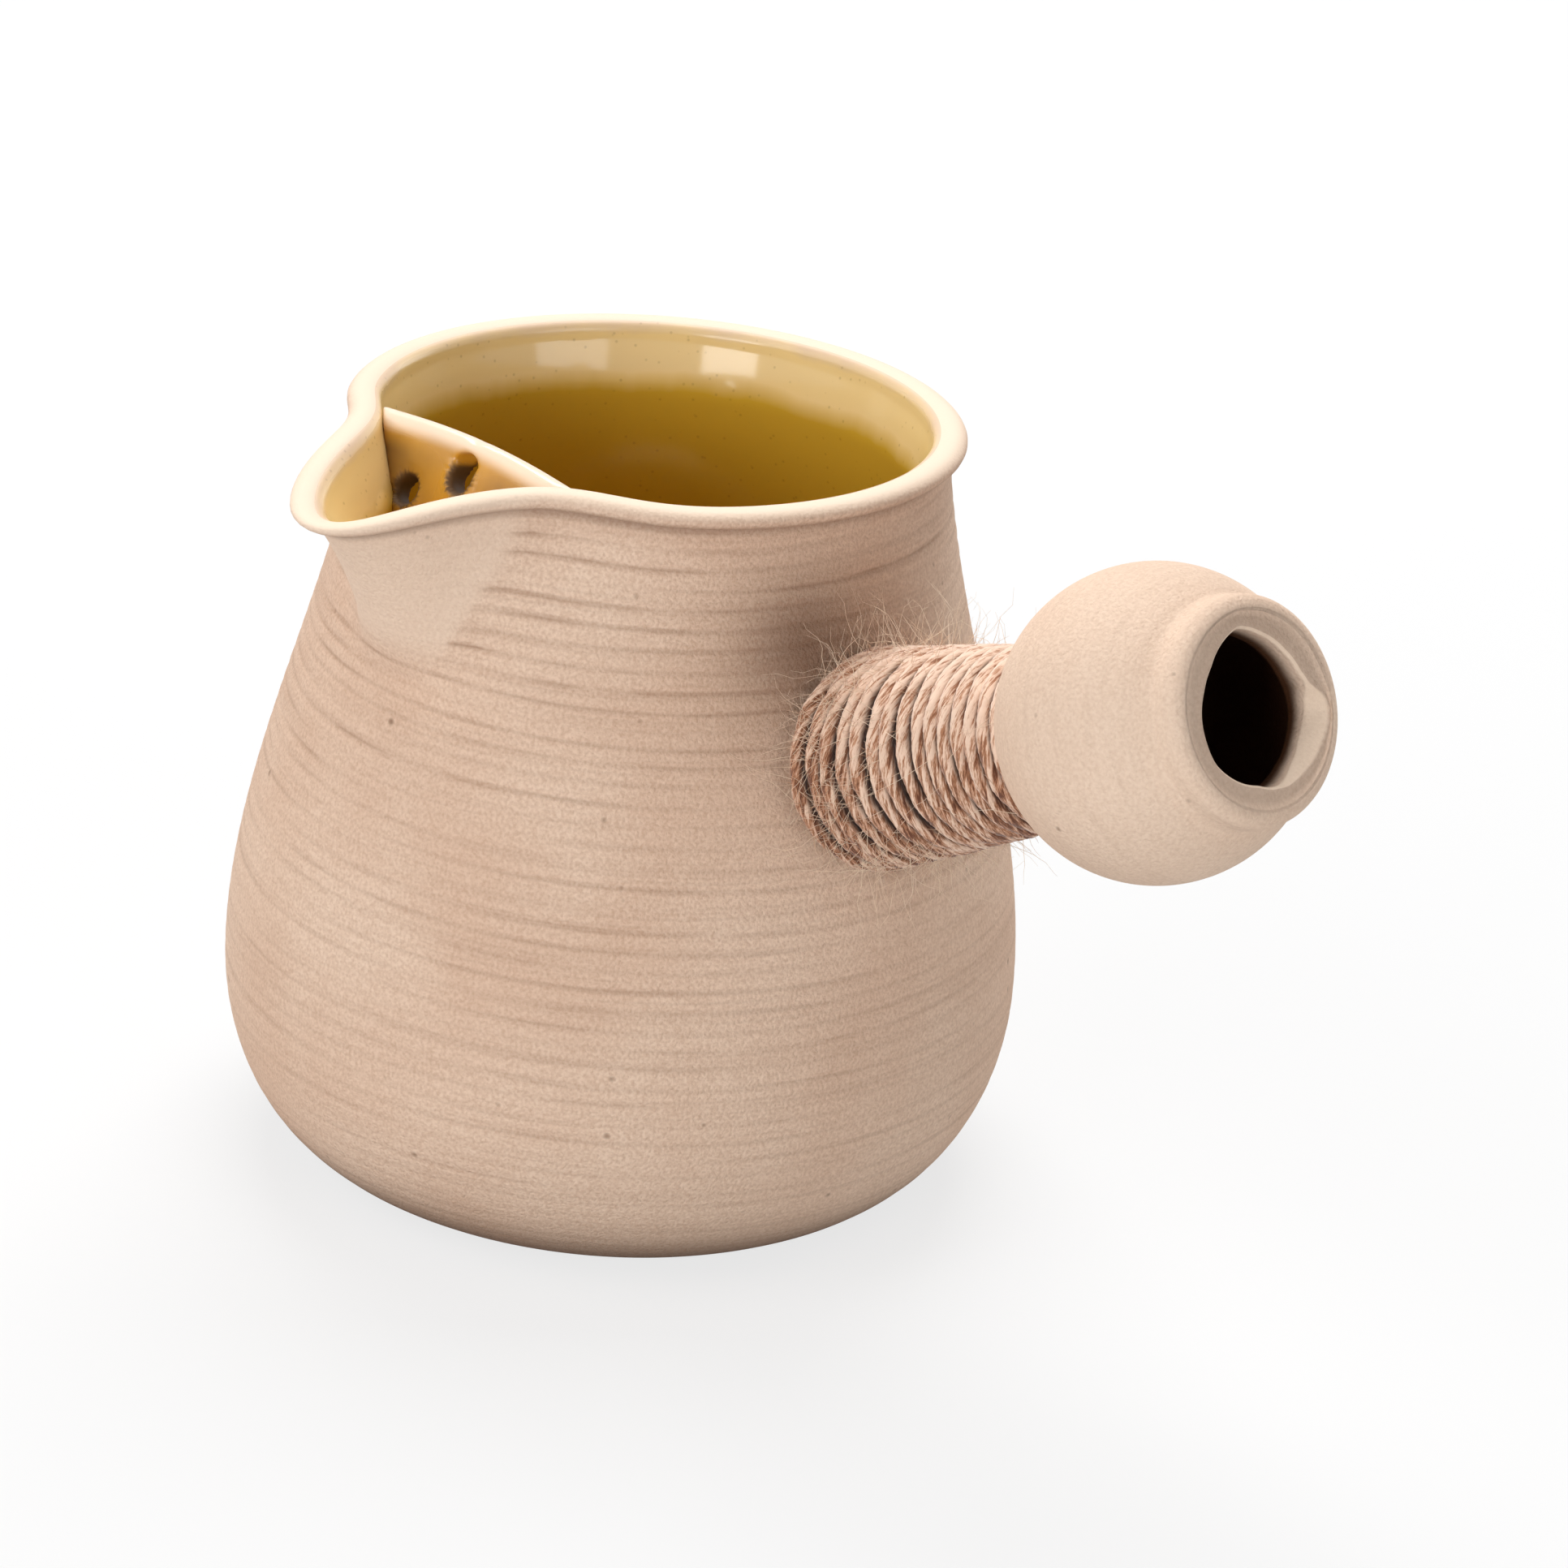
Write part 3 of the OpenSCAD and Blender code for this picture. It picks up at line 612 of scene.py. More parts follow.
strainer = {
    "merge": 0.002, "voxel": 0.28, "smoothing": 6, "edgeMm": 2.3, "edgeFull": 0.8, "crown": 1.2,
    "crownOver": 9.0, "holeTurn": (0.85, 0.45), "holeBelow": 1.0, "filled": 0.95, "poolFrom": 0.4,
    "corner": 0.55, "cornerDown": (1, 4), "rowMm": 0.5, "endMm": (0.8, 1.6), "pressed": 1.03,
}
strainerLook = {"face": "#e6aa38", "edge": "#f8dfc4", "deep": "#ab7722", "pooled": "#543710", "cloudMm": 6.0,
                "cloudLift": 0.06, "cloudShare": 0.3, "gloss": 0.2, "pooledGloss": 0.7}


def makeStrainerGlaze():
    look = strainerLook
    material, tree = newMaterial("glazedStrainer")
    add = partial(addNode, tree)
    place = add("ShaderNodeTexCoord").outputs["Object"]
    cloud = add("ShaderNodeTexNoise", {"Vector": place, "Scale": perMm(look["cloudMm"]), "Detail": 3.0})
    edge = add("ShaderNodeAttribute", attribute_name="edge").outputs["Fac"]
    pooled = add("ShaderNodeAttribute", attribute_name="pooled").outputs["Fac"]
    colour = linear(look["deep"])
    for share, name in ((cloud, "face"), (pooled, "pooled"), (edge, "edge")):
        colour = add("ShaderNodeMix", {0: share, 6: colour, 7: linear(look[name])}, data_type="RGBA")
    bump = add("ShaderNodeBump", {
        "Strength": look["cloudShare"], "Distance": look["cloudLift"] * mm, "Height": cloud})
    rough = add("ShaderNodeMapRange", {0: pooled, 3: look["gloss"], 4: look["pooledGloss"]})
    shader = add("ShaderNodeBsdfPrincipled", {
        "Base Color": colour, "Roughness": rough, "IOR": 1.52, "Normal": bump})
    add("ShaderNodeOutputMaterial", {0: shader})
    return material


def soften(obj):
    smooth = obj.modifiers.new("soft", "SMOOTH")
    smooth.factor = 0.5
    smooth.iterations = strainer["smoothing"]


def makeStrainer():
    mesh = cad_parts["strainer_wall"].data.copy()
    form = bmesh.new()
    form.from_mesh(mesh)
    bmesh.ops.remove_doubles(form, verts=form.verts, dist=strainer["merge"] * mm)
    form.to_mesh(mesh)
    form.free()
    obj = newObject("strainerWall", mesh)
    remesh = obj.modifiers.new("clay", "REMESH")
    remesh.mode = "VOXEL"
    remesh.voxel_size = strainer["voxel"] * mm
    soften(obj)
    soft = plainMesh(obj)
    soft.materials.clear()
    soft.materials.append(makeStrainerGlaze())
    obj.data = soft

    points = np.array([v.co for v in soft.vertices]) / mm
    normals = np.array([v.normal for v in soft.vertices])
    low, top = points.min(axis=0), points.max(axis=0)
    down = top[2] - points[:, 2]
    across = (points[:, 0] - low[0]) / (top[0] - low[0])
    lipWay = math.radians(pot["lipAz"])
    facing = np.abs(normals[:, 0] * math.cos(lipWay) + normals[:, 1] * math.sin(lipWay))
    inHole = smoothStep(*strainer["holeTurn"], facing)
    inHole *= smoothStep(strainer["edgeMm"], strainer["edgeMm"] + strainer["holeBelow"], down)
    anchor = np.array([(low[0] + top[0]) / 2, 0, top[2]])
    aside = np.abs(points[:, 0] - anchor[0])
    rows = np.arange(low[2], top[2], strainer["rowMm"])
    reach = [aside[np.abs(points[:, 2] - row) < strainer["rowMm"]].max() for row in rows]
    inHole *= smoothStep(*strainer["endMm"], np.interp(points[:, 2], rows, reach) - aside)  # not its ends
    # Darker in the holes and in the corner against the wall: pooled glaze and painted shade
    inCorner = smoothStep(strainer["corner"], 0, np.minimum(across, 1 - across))
    inCorner *= smoothStep(*strainer["cornerDown"], down)
    setAttribute(soft, "edge", smoothStep(strainer["edgeMm"], strainer["edgeFull"], down))
    setAttribute(soft, "pooled", np.maximum(smoothStep(strainer["poolFrom"], 1, inHole), inCorner))
    rise = strainer["crown"] * np.sin(math.pi * across) * smoothStep(strainer["crownOver"], 0, down)
    points += strainer["filled"] * inHole[:, None] * normals  # glaze fills the holes a little
    wider = strainer["pressed"] - 1
    points += (points - anchor) * [wider, 0, wider]  # pressed into the wall
    points[:, 2] += rise  # the cut top edge rises a little towards its middle
    soft.vertices.foreach_set("co", (points * mm).ravel())
    soften(obj)
    obj.data = plainMesh(obj)
    standFor(obj, "strainer_wall")


makeStrainer()
print("stage: strainer glazed")


# Handle shape shared by the clay and the twine, in mm and degrees

handle = {
    "rootZ": 66.4, "tilt": 24.8, "length": 65.4, "rootR": 12.0, "tipR": 8.8, "boreR": 5.6, "boreEnd": 3.0,
    "globeR": 18.1, "globeWall": 3.4, "flatR": 11.2, "collarOut": 16.4, "collarR": 13.0, "collarEdge": 1.7,
    "collarDish": 0.4, "shoulderR": 13.75, "creaseR": 13.05, "creaseOut": 12.45, "creaseUp": 0.8,
    "creaseIn": 0.05,
    "holeR": ((0, 8.6), (12, 8.7), (32, 8.2), (58, 8.3), (80, 9.1), (96, 8.6),  # turn from below, radius
              (110, 8.0), (134, 8.0), (159, 8.4), (182, 9.2), (200, 8.6), (222, 7.9),
              (243, 7.9), (265, 8.3), (283, 8.5), (300, 8.8), (321, 8.5), (346, 8.2)),
    "facetWide": ((6, 0), (32, 1.0), (58, 1.8), (78, 2.0), (88, 1.5), (97, 0)),  # turn from below, width
    "facetSlope": 0.8, "faceToast": 0.26, "facetPale": 0.5, "holeEdge": 0.3, "lipLeft": 0.8, "leastBack": 2.0,
    "darkens": (0.15, 0.8), "wallSunk": 1.5, "rootFrom": 1.0, "rootMm": 3.0, "stemInset": 0.5, "stemRows": 24,
    "around": 192, "step": 0.4, "wiped": 0.75, "ringPitch": 2.2, "ringWidth": 0.5, "ringDepth": 0.03,
    "ringWander": 1.0, "ringShare": 0.15, "ringsFrom": (0, 6), "ringsTo": (13, 9), "seed": 11.0,
}
handleR = float(wallRadius(handle["rootZ"]))
globeS = handle["length"] - handle["collarOut"]
flatS = globeS - math.sqrt(handle["globeR"] ** 2 - handle["flatR"] ** 2)
tilt = math.radians(handle["tilt"])


# Points at radius r and angle a round the handle's axis, s along it from the pot's wall
def onHandle(r, a, s):
    r, a, s = np.broadcast_arrays(r, a, s)
    return np.stack([handleR + s * math.cos(tilt) + r * np.cos(a) * math.sin(tilt), r * np.sin(a),
                     handle["rootZ"] + s * math.sin(tilt) - r * np.cos(a) * math.cos(tilt)], axis=-1)


def stemR(s):
    return handle["rootR"] + (handle["tipR"] - handle["rootR"]) * s / flatS


# Where a line along the handle at radius r and angles a leaves the pot's wall
def wallAt(r, a):
    low, high = np.full_like(a, -handle["rootR"]), np.full_like(a, handle["rootR"])
    for _ in range(24):
        mid = (low + high) / 2
        p = onHandle(r, a, mid)
        inside = np.hypot(p[:, 0], p[:, 1]) < wallRadius(p[:, 2])
        low, high = np.where(inside, mid, low), np.where(inside, high, mid)
    return mid


# Sizes measured at some angles, carried round the handle to the angles a
def knifeCut(a, sizes):
    turns, values = zip(*sizes)
    ring = np.interp(np.degrees(a), turns, values, period=360)
    for _ in range(3):
        ring = (np.roll(ring, 1) + 2 * ring + np.roll(ring, -1)) / 4  # the knife leaves no sharp corners
    return ring


def makeHandle():
    a = np.linspace(0, 2 * math.pi, handle["around"], endpoint=False)
    hole = knifeCut(a, handle["holeR"])
    facet = knifeCut(a, handle["facetWide"])

    # Globe, crease and rolled collar, measured from the globe's middle
    turn = np.linspace(math.pi - math.asin(handle["flatR"] / handle["globeR"]),
                       math.asin(handle["shoulderR"] / handle["globeR"]), 120)
    globe = handle["globeR"] * np.column_stack([np.sin(turn), np.cos(turn)])
    edge = handle["collarEdge"]
    ringR, ringS = handle["collarR"] - edge, handle["collarOut"] - edge
    crease = np.array([(handle["creaseR"], handle["creaseOut"]),
                       (handle["collarR"] - handle["creaseIn"], handle["creaseOut"] + handle["creaseUp"])])
    turn = np.linspace(0, math.pi / 2, 30)
    collar = np.column_stack([ringR + edge * np.cos(turn), ringS + edge * np.sin(turn)])
    outer = evenly(np.vstack([globe, crease, collar]), handle["step"])
    for _ in range(2):
        outer[1:-1] = (outer[:-2] + 2 * outer[1:-1] + outer[2:]) / 4

    rows, marks = [], []

    def addRow(r, s, **mark):
        rows.append(onHandle(r, a, s))
        marks.append(mark)

    root = wallAt(handle["rootR"], a) - handle["wallSunk"]
    for s in np.linspace(handle["rootFrom"], flatS, handle["stemRows"]):
        atRoot = s < handle["rootMm"]
        addRow(stemR(s) - handle["stemInset"], np.maximum(root, s - handle["rootMm"]) if atRoot else s)
    for k, (r, s) in enumerate(outer):
        along = k * handle["step"]
        fade = float(smoothStep(*handle["ringsFrom"], along) * smoothStep(*handle["ringsTo"], s))
        addRow(r, globeS + s, along=along, ringShare=handle["ringShare"] * fade)

    # Face of the collar, the knife-cut edge of its hole with the slanted facet, and the hollow inside
    faceS = handle["length"] - handle["collarDish"]
    inner = handle["globeR"] - handle["globeWall"]
    edgeR = hole + facet + handle["holeEdge"]
    deep = handle["holeEdge"] + handle["facetSlope"] * facet
    # Painted shade on the collar's face, deepening towards the hole
    for t in np.linspace(0.15, 1, 8):
        inwards = min(1, 2 * t)
        sunk = handle["collarDish"] * math.sin(inwards * math.pi / 2)
        addRow(ringR + (edgeR - ringR) * t, handle["length"] - sunk, toast=handle["faceToast"] * inwards)
    # Painted highlight on the slanted facet, in the pale colour and gloss of the rim glaze
    for t in np.linspace(0.15, 1, 7):
        addRow(edgeR + (hole - edgeR) * t, faceS - deep * t, rimGlaze=handle["facetPale"])
    back = globeS + np.sqrt(np.maximum(inner ** 2 - hole ** 2, handle["leastBack"] ** 2))
    back = np.minimum(back, faceS - deep - handle["lipLeft"])
    # Painted shade, darkening into the hollow handle from the mouth of its hole
    for t in np.linspace(0.1, 1, 10):
        dark = float(smoothStep(*handle["darkens"], t))
        addRow(hole, (faceS - deep) + (back - faceS + deep) * t, hollow=dark)
    reach = np.arctan2(hole, back - globeS)
    stop = math.pi - math.asin(handle["boreR"] / inner)
    for t in np.linspace(0.04, 1, 26):
        b = reach + (stop - reach) * t
        addRow(inner * np.sin(b), globeS + inner * np.cos(b), hollow=1.0)
    addRow(handle["boreR"], handle["boreEnd"], hollow=1.0)

    ones = np.ones((len(rows), len(a)))
    attributes = {name: np.array([mark.get(name, 0.0) for mark in marks])[:, None] * ones
                  for name in ("along", "ringShare", "toast", "rimGlaze", "hollow")}
    attributes["around"] = a[None, :] * ones
    attributes["wiped"] = handle["wiped"] * ones
    poles = [onHandle(0.0, 0.0, 0.0), onHandle(0.0, 0.0, handle["boreEnd"])]
    obj = newObject("hollowHandle", ringMesh("hollowHandle", np.stack(rows), poles, attributes), stoneware)
    addTree(obj, rings, Pitch=handle["ringPitch"], Width=handle["ringWidth"], Depth=handle["ringDepth"],
            Wander=handle["ringWander"], Seed=handle["seed"])
    obj.data = plainMesh(obj)
    standFor(obj, "side_handle")


makeHandle()
print("stage: handle thrown")


# Natural jute twine, spun from three plies of bast fibre: dull and streaky, with painted light making it pale
# straw on top and painted shade making it darker underneath, near the pot and dark brown down between the
# plies. Real fibres are 0.05 mm wide, drawn here at 0.36 mm to show

twine = {
    "thick": 1.86, "stands": 1.58, "turns": 15, "followTurns": 9, "perTurn": 64, "seat": 0.95, "sink": 1.2,
    "sinkTurns": 0.12, "pairing": 0.16, "wander": 0.22, "waves": (2.3, 5.9), "looseTurns": 1.5,
    "layMm": 17.0, "plies": 3, "lobe": 0.07, "sides": 18, "alongStep": 0.4, "uneven": 0.18, "slubMm": 6.0,
    "fuzz": 0.2, "fuzzMm": 0.45, "nearDark": 1.0, "nearMm": (10, 2), "seed": 5.0,
}
juteLook = {
    "pale": "#f5d5bd", "mid": "#bd8562", "dark": "#6c3e27", "gap": "#432213", "gapFrom": 0.78, "gapAt": 0.36,
    "strandMm": 0.36, "strandFrom": 0.38, "strandTo": 0.6, "strandLift": 0.15, "strandShare": 0.8,
    "runMm": 2.2, "patchMm": 7.0, "patchFrom": 0.3, "patchTo": 0.7, "patchDark": -0.12, "patchPale": 0.16,
    "furrowDark": -0.3, "furrowPale": 0.12, "underAt": -0.6, "topAt": 0.9, "underside": 0.0, "bleach": 0.6,
    "midTone": 0.5, "dull": 0.88, "sheen": 0.3, "sheenRough": 0.5,
}


def makeJute():
    look = juteLook
    material, tree = newMaterial("juteTwine")
    add = partial(addNode, tree)
    place = add("ShaderNodeTexCoord").outputs["Object"]
    plyRound = add("ShaderNodeAttribute", attribute_name="plyRound").outputs["Vector"]
    spun = {name: add("ShaderNodeAttribute", attribute_name=name).outputs["Fac"]
            for name in ("twineLength", "lobe", "standing", "upside")}
    strands = twine["thick"] / 2 / look["strandMm"]
    run = add("ShaderNodeMath", {0: spun["twineLength"], 1: look["runMm"] * mm}, operation="DIVIDE")
    run = add("ShaderNodeCombineXYZ", {2: run})
    spot = add("ShaderNodeVectorMath", {
        0: plyRound, 1: (strands, strands, 0.0), 2: run}, operation="MULTIPLY_ADD")
    strand = add("ShaderNodeTexNoise", {"Vector": spot, "Scale": 1.0, "Detail": 3.0, "Roughness": 0.7})
    patch = add("ShaderNodeTexNoise", {"Vector": place, "Scale": perMm(look["patchMm"]), "Detail": 2.0})
    tone = add("ShaderNodeMapRange", {0: strand, 1: look["strandFrom"], 2: look["strandTo"]})
    patchy = add("ShaderNodeMapRange", {
        0: patch, 1: look["patchFrom"], 2: look["patchTo"], 3: look["patchDark"], 4: look["patchPale"]})
    # Painted shade in the furrows between the plies and painted light on their crests
    furrow = add("ShaderNodeMapRange", {
        0: spun["lobe"], 1: -1.0, 2: 1.0, 3: look["furrowDark"], 4: look["furrowPale"]})
    # Painted light on top of the winding and painted shade underneath
    bleach = add("ShaderNodeMapRange", {
        0: spun["upside"], 1: look["underAt"], 2: look["topAt"], 3: look["underside"], 4: look["bleach"]})
    for part in (patchy, furrow, bleach):
        tone = add("ShaderNodeMath", {0: tone, 1: part})
    lit = add("ShaderNodeMapRange", {0: tone, 1: 0.0, 2: look["midTone"]})
    bright = add("ShaderNodeMapRange", {0: tone, 1: look["midTone"], 2: 1.0})
    # Painted shade down between the turns and the plies
    down = add("ShaderNodeMapRange", {0: spun["standing"], 1: look["gapFrom"], 2: look["gapAt"]})
    colour = linear(look["dark"])
    for share, name in ((lit, "mid"), (bright, "pale"), (down, "gap")):
        colour = add("ShaderNodeMix", {0: share, 6: colour, 7: linear(look[name])}, data_type="RGBA")
    bump = add("ShaderNodeBump", {
        "Strength": look["strandShare"], "Distance": look["strandLift"] * mm, "Height": strand})
    shader = add("ShaderNodeBsdfPrincipled", {
        "Base Color": colour, "Roughness": look["dull"], "IOR": 1.5, "Sheen Weight": look["sheen"],
        "Sheen Roughness": look["sheenRough"], "Normal": bump})
    add("ShaderNodeOutputMaterial", {0: shader})
    return material


jute = makeJute()


# Centre line of the wound twine, whose first turns lie along the pot's wall
def twinePath():
    count = twine["turns"] * twine["perTurn"] + 1
    k = np.arange(count) / twine["perTurn"]
    a = 2 * math.pi * k
    ring = np.linspace(0, 2 * math.pi, twine["perTurn"], endpoint=False)
    clear = np.maximum(wallAt(handle["rootR"], ring), wallAt(handle["rootR"] + twine["stands"], ring))
    top = clear.max()
    fall = np.interp(a % (2 * math.pi), np.append(ring, 2 * math.pi), np.append(clear, clear[0])) - top
    start, end = top + twine["seat"], flatS - twine["seat"]
    s = start + (end - start) * k / twine["turns"] + fall * np.clip(1 - k / twine["followTurns"], 0, 1)
    left = np.minimum(k, twine["turns"] - k)
    slow, quick = twine["waves"]
    uneven = twine["wander"] * np.sin(slow * k + 1) * np.sin(quick * k)
    uneven += twine["pairing"] * np.cos(math.pi * k)
    s += smoothStep(0, twine["looseTurns"], left) * uneven
    sink = twine["sink"] * (1 - smoothStep(0, twine["sinkTurns"], left))
    return onHandle(stemR(s) + twine["stands"] - twine["thick"] / 2 - sink, a, s)


def twineTree():
    tree, given = newTree("plyTwine", "Thickness Lay Plies Lobe Uneven SlubSize Fuzz FuzzSize Step Seed",
                          "Sides")
    add = partial(addNode, tree)
    even = add("GeometryNodeResampleCurve", {
        "Curve": given["Geometry"], "Length": given["Step"]}, mode="LENGTH")
    length = add("GeometryNodeSplineParameter").outputs["Length"]
    kept = add("GeometryNodeStoreNamedAttribute", {"Geometry": even, "Name": "twineLength", "Value": length})
    twist = add("ShaderNodeMath", {0: length, 1: given["Lay"]}, operation="DIVIDE")
    twist = add("ShaderNodeMath", {0: twist, 1: 2 * math.pi}, operation="MULTIPLY")
    spun = add("GeometryNodeSetCurveTilt", {"Curve": kept, "Tilt": twist})

    # Section with a lobe for each ply
    circle = add("GeometryNodeCurvePrimitiveCircle", {"Resolution": given["Sides"], "Radius": 1.0})
    turn = add("GeometryNodeSplineParameter").outputs["Factor"]
    for times in (2 * math.pi, given["Plies"]):
        turn = add("ShaderNodeMath", {0: turn, 1: times}, operation="MULTIPLY")
    lobe = add("ShaderNodeMath", {0: turn}, operation="COSINE")
    size = add("ShaderNodeMath", {0: lobe, 1: given["Lobe"], 2: 1.0}, operation="MULTIPLY_ADD")
    place = add("GeometryNodeInputPosition")
    lobed = add("ShaderNodeVectorMath", {0: place, "Scale": size}, operation="SCALE")
    marked = add("GeometryNodeStoreNamedAttribute", {"Geometry": circle, "Name": "lobe", "Value": lobe})
    marked = add("GeometryNodeStoreNamedAttribute", {"Geometry": marked, "Name": "plyRound", "Value": place},
                 data_type="FLOAT_VECTOR")
    plies = add("GeometryNodeSetPosition", {"Geometry": marked, "Position": lobed})

    # Thick and thin places along the yarn, then a rough skin
    slub = add("ShaderNodeMath", {0: length, 1: given["SlubSize"]}, operation="DIVIDE")
    slub = add("ShaderNodeMath", {0: slub, 1: given["Seed"]})
    slub = add("ShaderNodeTexNoise", {"W": slub, "Scale": 1.0, "Detail": 2.0}, noise_dimensions="1D")
    slub = add("ShaderNodeMapRange", {0: slub, 3: -1.0, 4: 1.0})
    wide = add("ShaderNodeMath", {0: slub, 1: given["Uneven"], 2: 1.0}, operation="MULTIPLY_ADD")
    half = add("ShaderNodeMath", {0: given["Thickness"], 1: 0.5}, operation="MULTIPLY")
    wide = add("ShaderNodeMath", {0: wide, 1: half}, operation="MULTIPLY")
    tube = add("GeometryNodeCurveToMesh", {
        "Curve": spun, "Profile Curve": plies, "Scale": wide, "Fill Caps": True})
    fine = add("ShaderNodeMath", {0: 1.0, 1: given["FuzzSize"]}, operation="DIVIDE")
    rough = add("ShaderNodeTexNoise", {"Scale": fine, "Detail": 2.0})
    rough = add("ShaderNodeMapRange", {0: rough, 3: -1.0, 4: 1.0})
    lift = add("ShaderNodeMath", {0: rough, 1: given["Fuzz"]}, operation="MULTIPLY")
    normal = add("GeometryNodeInputNormal")
    offset = add("ShaderNodeVectorMath", {0: normal, "Scale": lift}, operation="SCALE")
    endTree(tree, add("GeometryNodeSetPosition", {"Geometry": tube, "Offset": offset}), jute)
    return tree


# Place of a mesh's points in the winding: mm along the handle, height from 0 on the stem to 1 outside, and
# side from -1 underneath to 1 on top
def windingPlace(mesh):
    points = np.array([v.co for v in mesh.vertices]) / mm - onHandle(0.0, 0.0, 0.0)
    axis = onHandle(0.0, 0.0, 1.0) - onHandle(0.0, 0.0, 0.0)
    s = points @ axis
    away = points - s[:, None] * axis
    r = np.linalg.norm(away, axis=1)
    return s, (r - stemR(s) - twine["stands"]) / twine["thick"] + 1, away[:, 2] / r


def makeTwine():
    points = twinePath() * mm
    curve = bpy.data.curves.new("twinePath", "CURVE")
    curve.dimensions = "3D"
    spline = curve.splines.new("POLY")
    spline.points.add(len(points) - 1)
    spline.points.foreach_set("co", np.column_stack([points, np.ones(len(points))]).ravel())
    path = newObject("twinePath", curve)
    addTree(path, twineTree(), Thickness=twine["thick"] * mm, Lay=twine["layMm"] * mm, Lobe=twine["lobe"],
            Plies=float(twine["plies"]), Uneven=twine["uneven"], SlubSize=twine["slubMm"] * mm,
            Fuzz=twine["fuzz"] * mm, FuzzSize=twine["fuzzMm"] * mm, Step=twine["alongStep"] * mm,
            Sides=twine["sides"], Seed=twine["seed"])
    mesh = plainMesh(path)
    bpy.data.objects.remove(path)
    s, standing, upside = windingPlace(mesh)
    setAttribute(mesh, "standing", standing)
    # Painted shade on the twine near the pot
    setAttribute(mesh, "upside", upside - twine["nearDark"] * smoothStep(*twine["nearMm"], s))
    obj = newObject("woundTwine", mesh)
    standFor(obj, "twine_wrap")
    print("twine length in metres", round(float(np.linalg.norm(np.diff(points, axis=0), axis=1).sum()), 3))
    return obj


wound = makeTwine()
print("stage: twine wound")


# Loose bast fibres that stand off the twine, thickest by the pot. A real one is 0.05 mm thick, drawn here at
# 0.08 mm to show

fray = {"perSquareMm": 2.2, "shortMm": 2.0, "longMm": 9.0, "thick": 0.08, "lean": 1.0, "curl": 1.4,
        "curlMm": 5.0, "bareFrom": 0.7, "nearPot": 1.0, "nearGlobe": 0.03, "fadeOver": 0.65, "points": 7,
        "sides": 3, "taper": 0.7, "intoWall": 0.2, "seed": 8}
fibreLook = {"brown": "#cf9f7c", "straw": "#fbe4c8", "dull": 0.6, "sheen": 0.3}


def makeFibreLook():
    material, tree = newMaterial("bastFibre")
    add = partial(addNode, tree)
    tint = add("ShaderNodeAttribute", attribute_name="tint").outputs["Fac"]
    colour = add("ShaderNodeMix", {0: tint, 6: linear(fibreLook["brown"]), 7: linear(fibreLook["straw"])},
                 data_type="RGBA")
    shader = add("ShaderNodeBsdfPrincipled", {
        "Base Color": colour, "Roughness": fibreLook["dull"], "IOR": 1.5, "Sheen Weight": fibreLook["sheen"]})
    add("ShaderNodeOutputMaterial", {0: shader})
    return material


bastFibre = makeFibreLook()


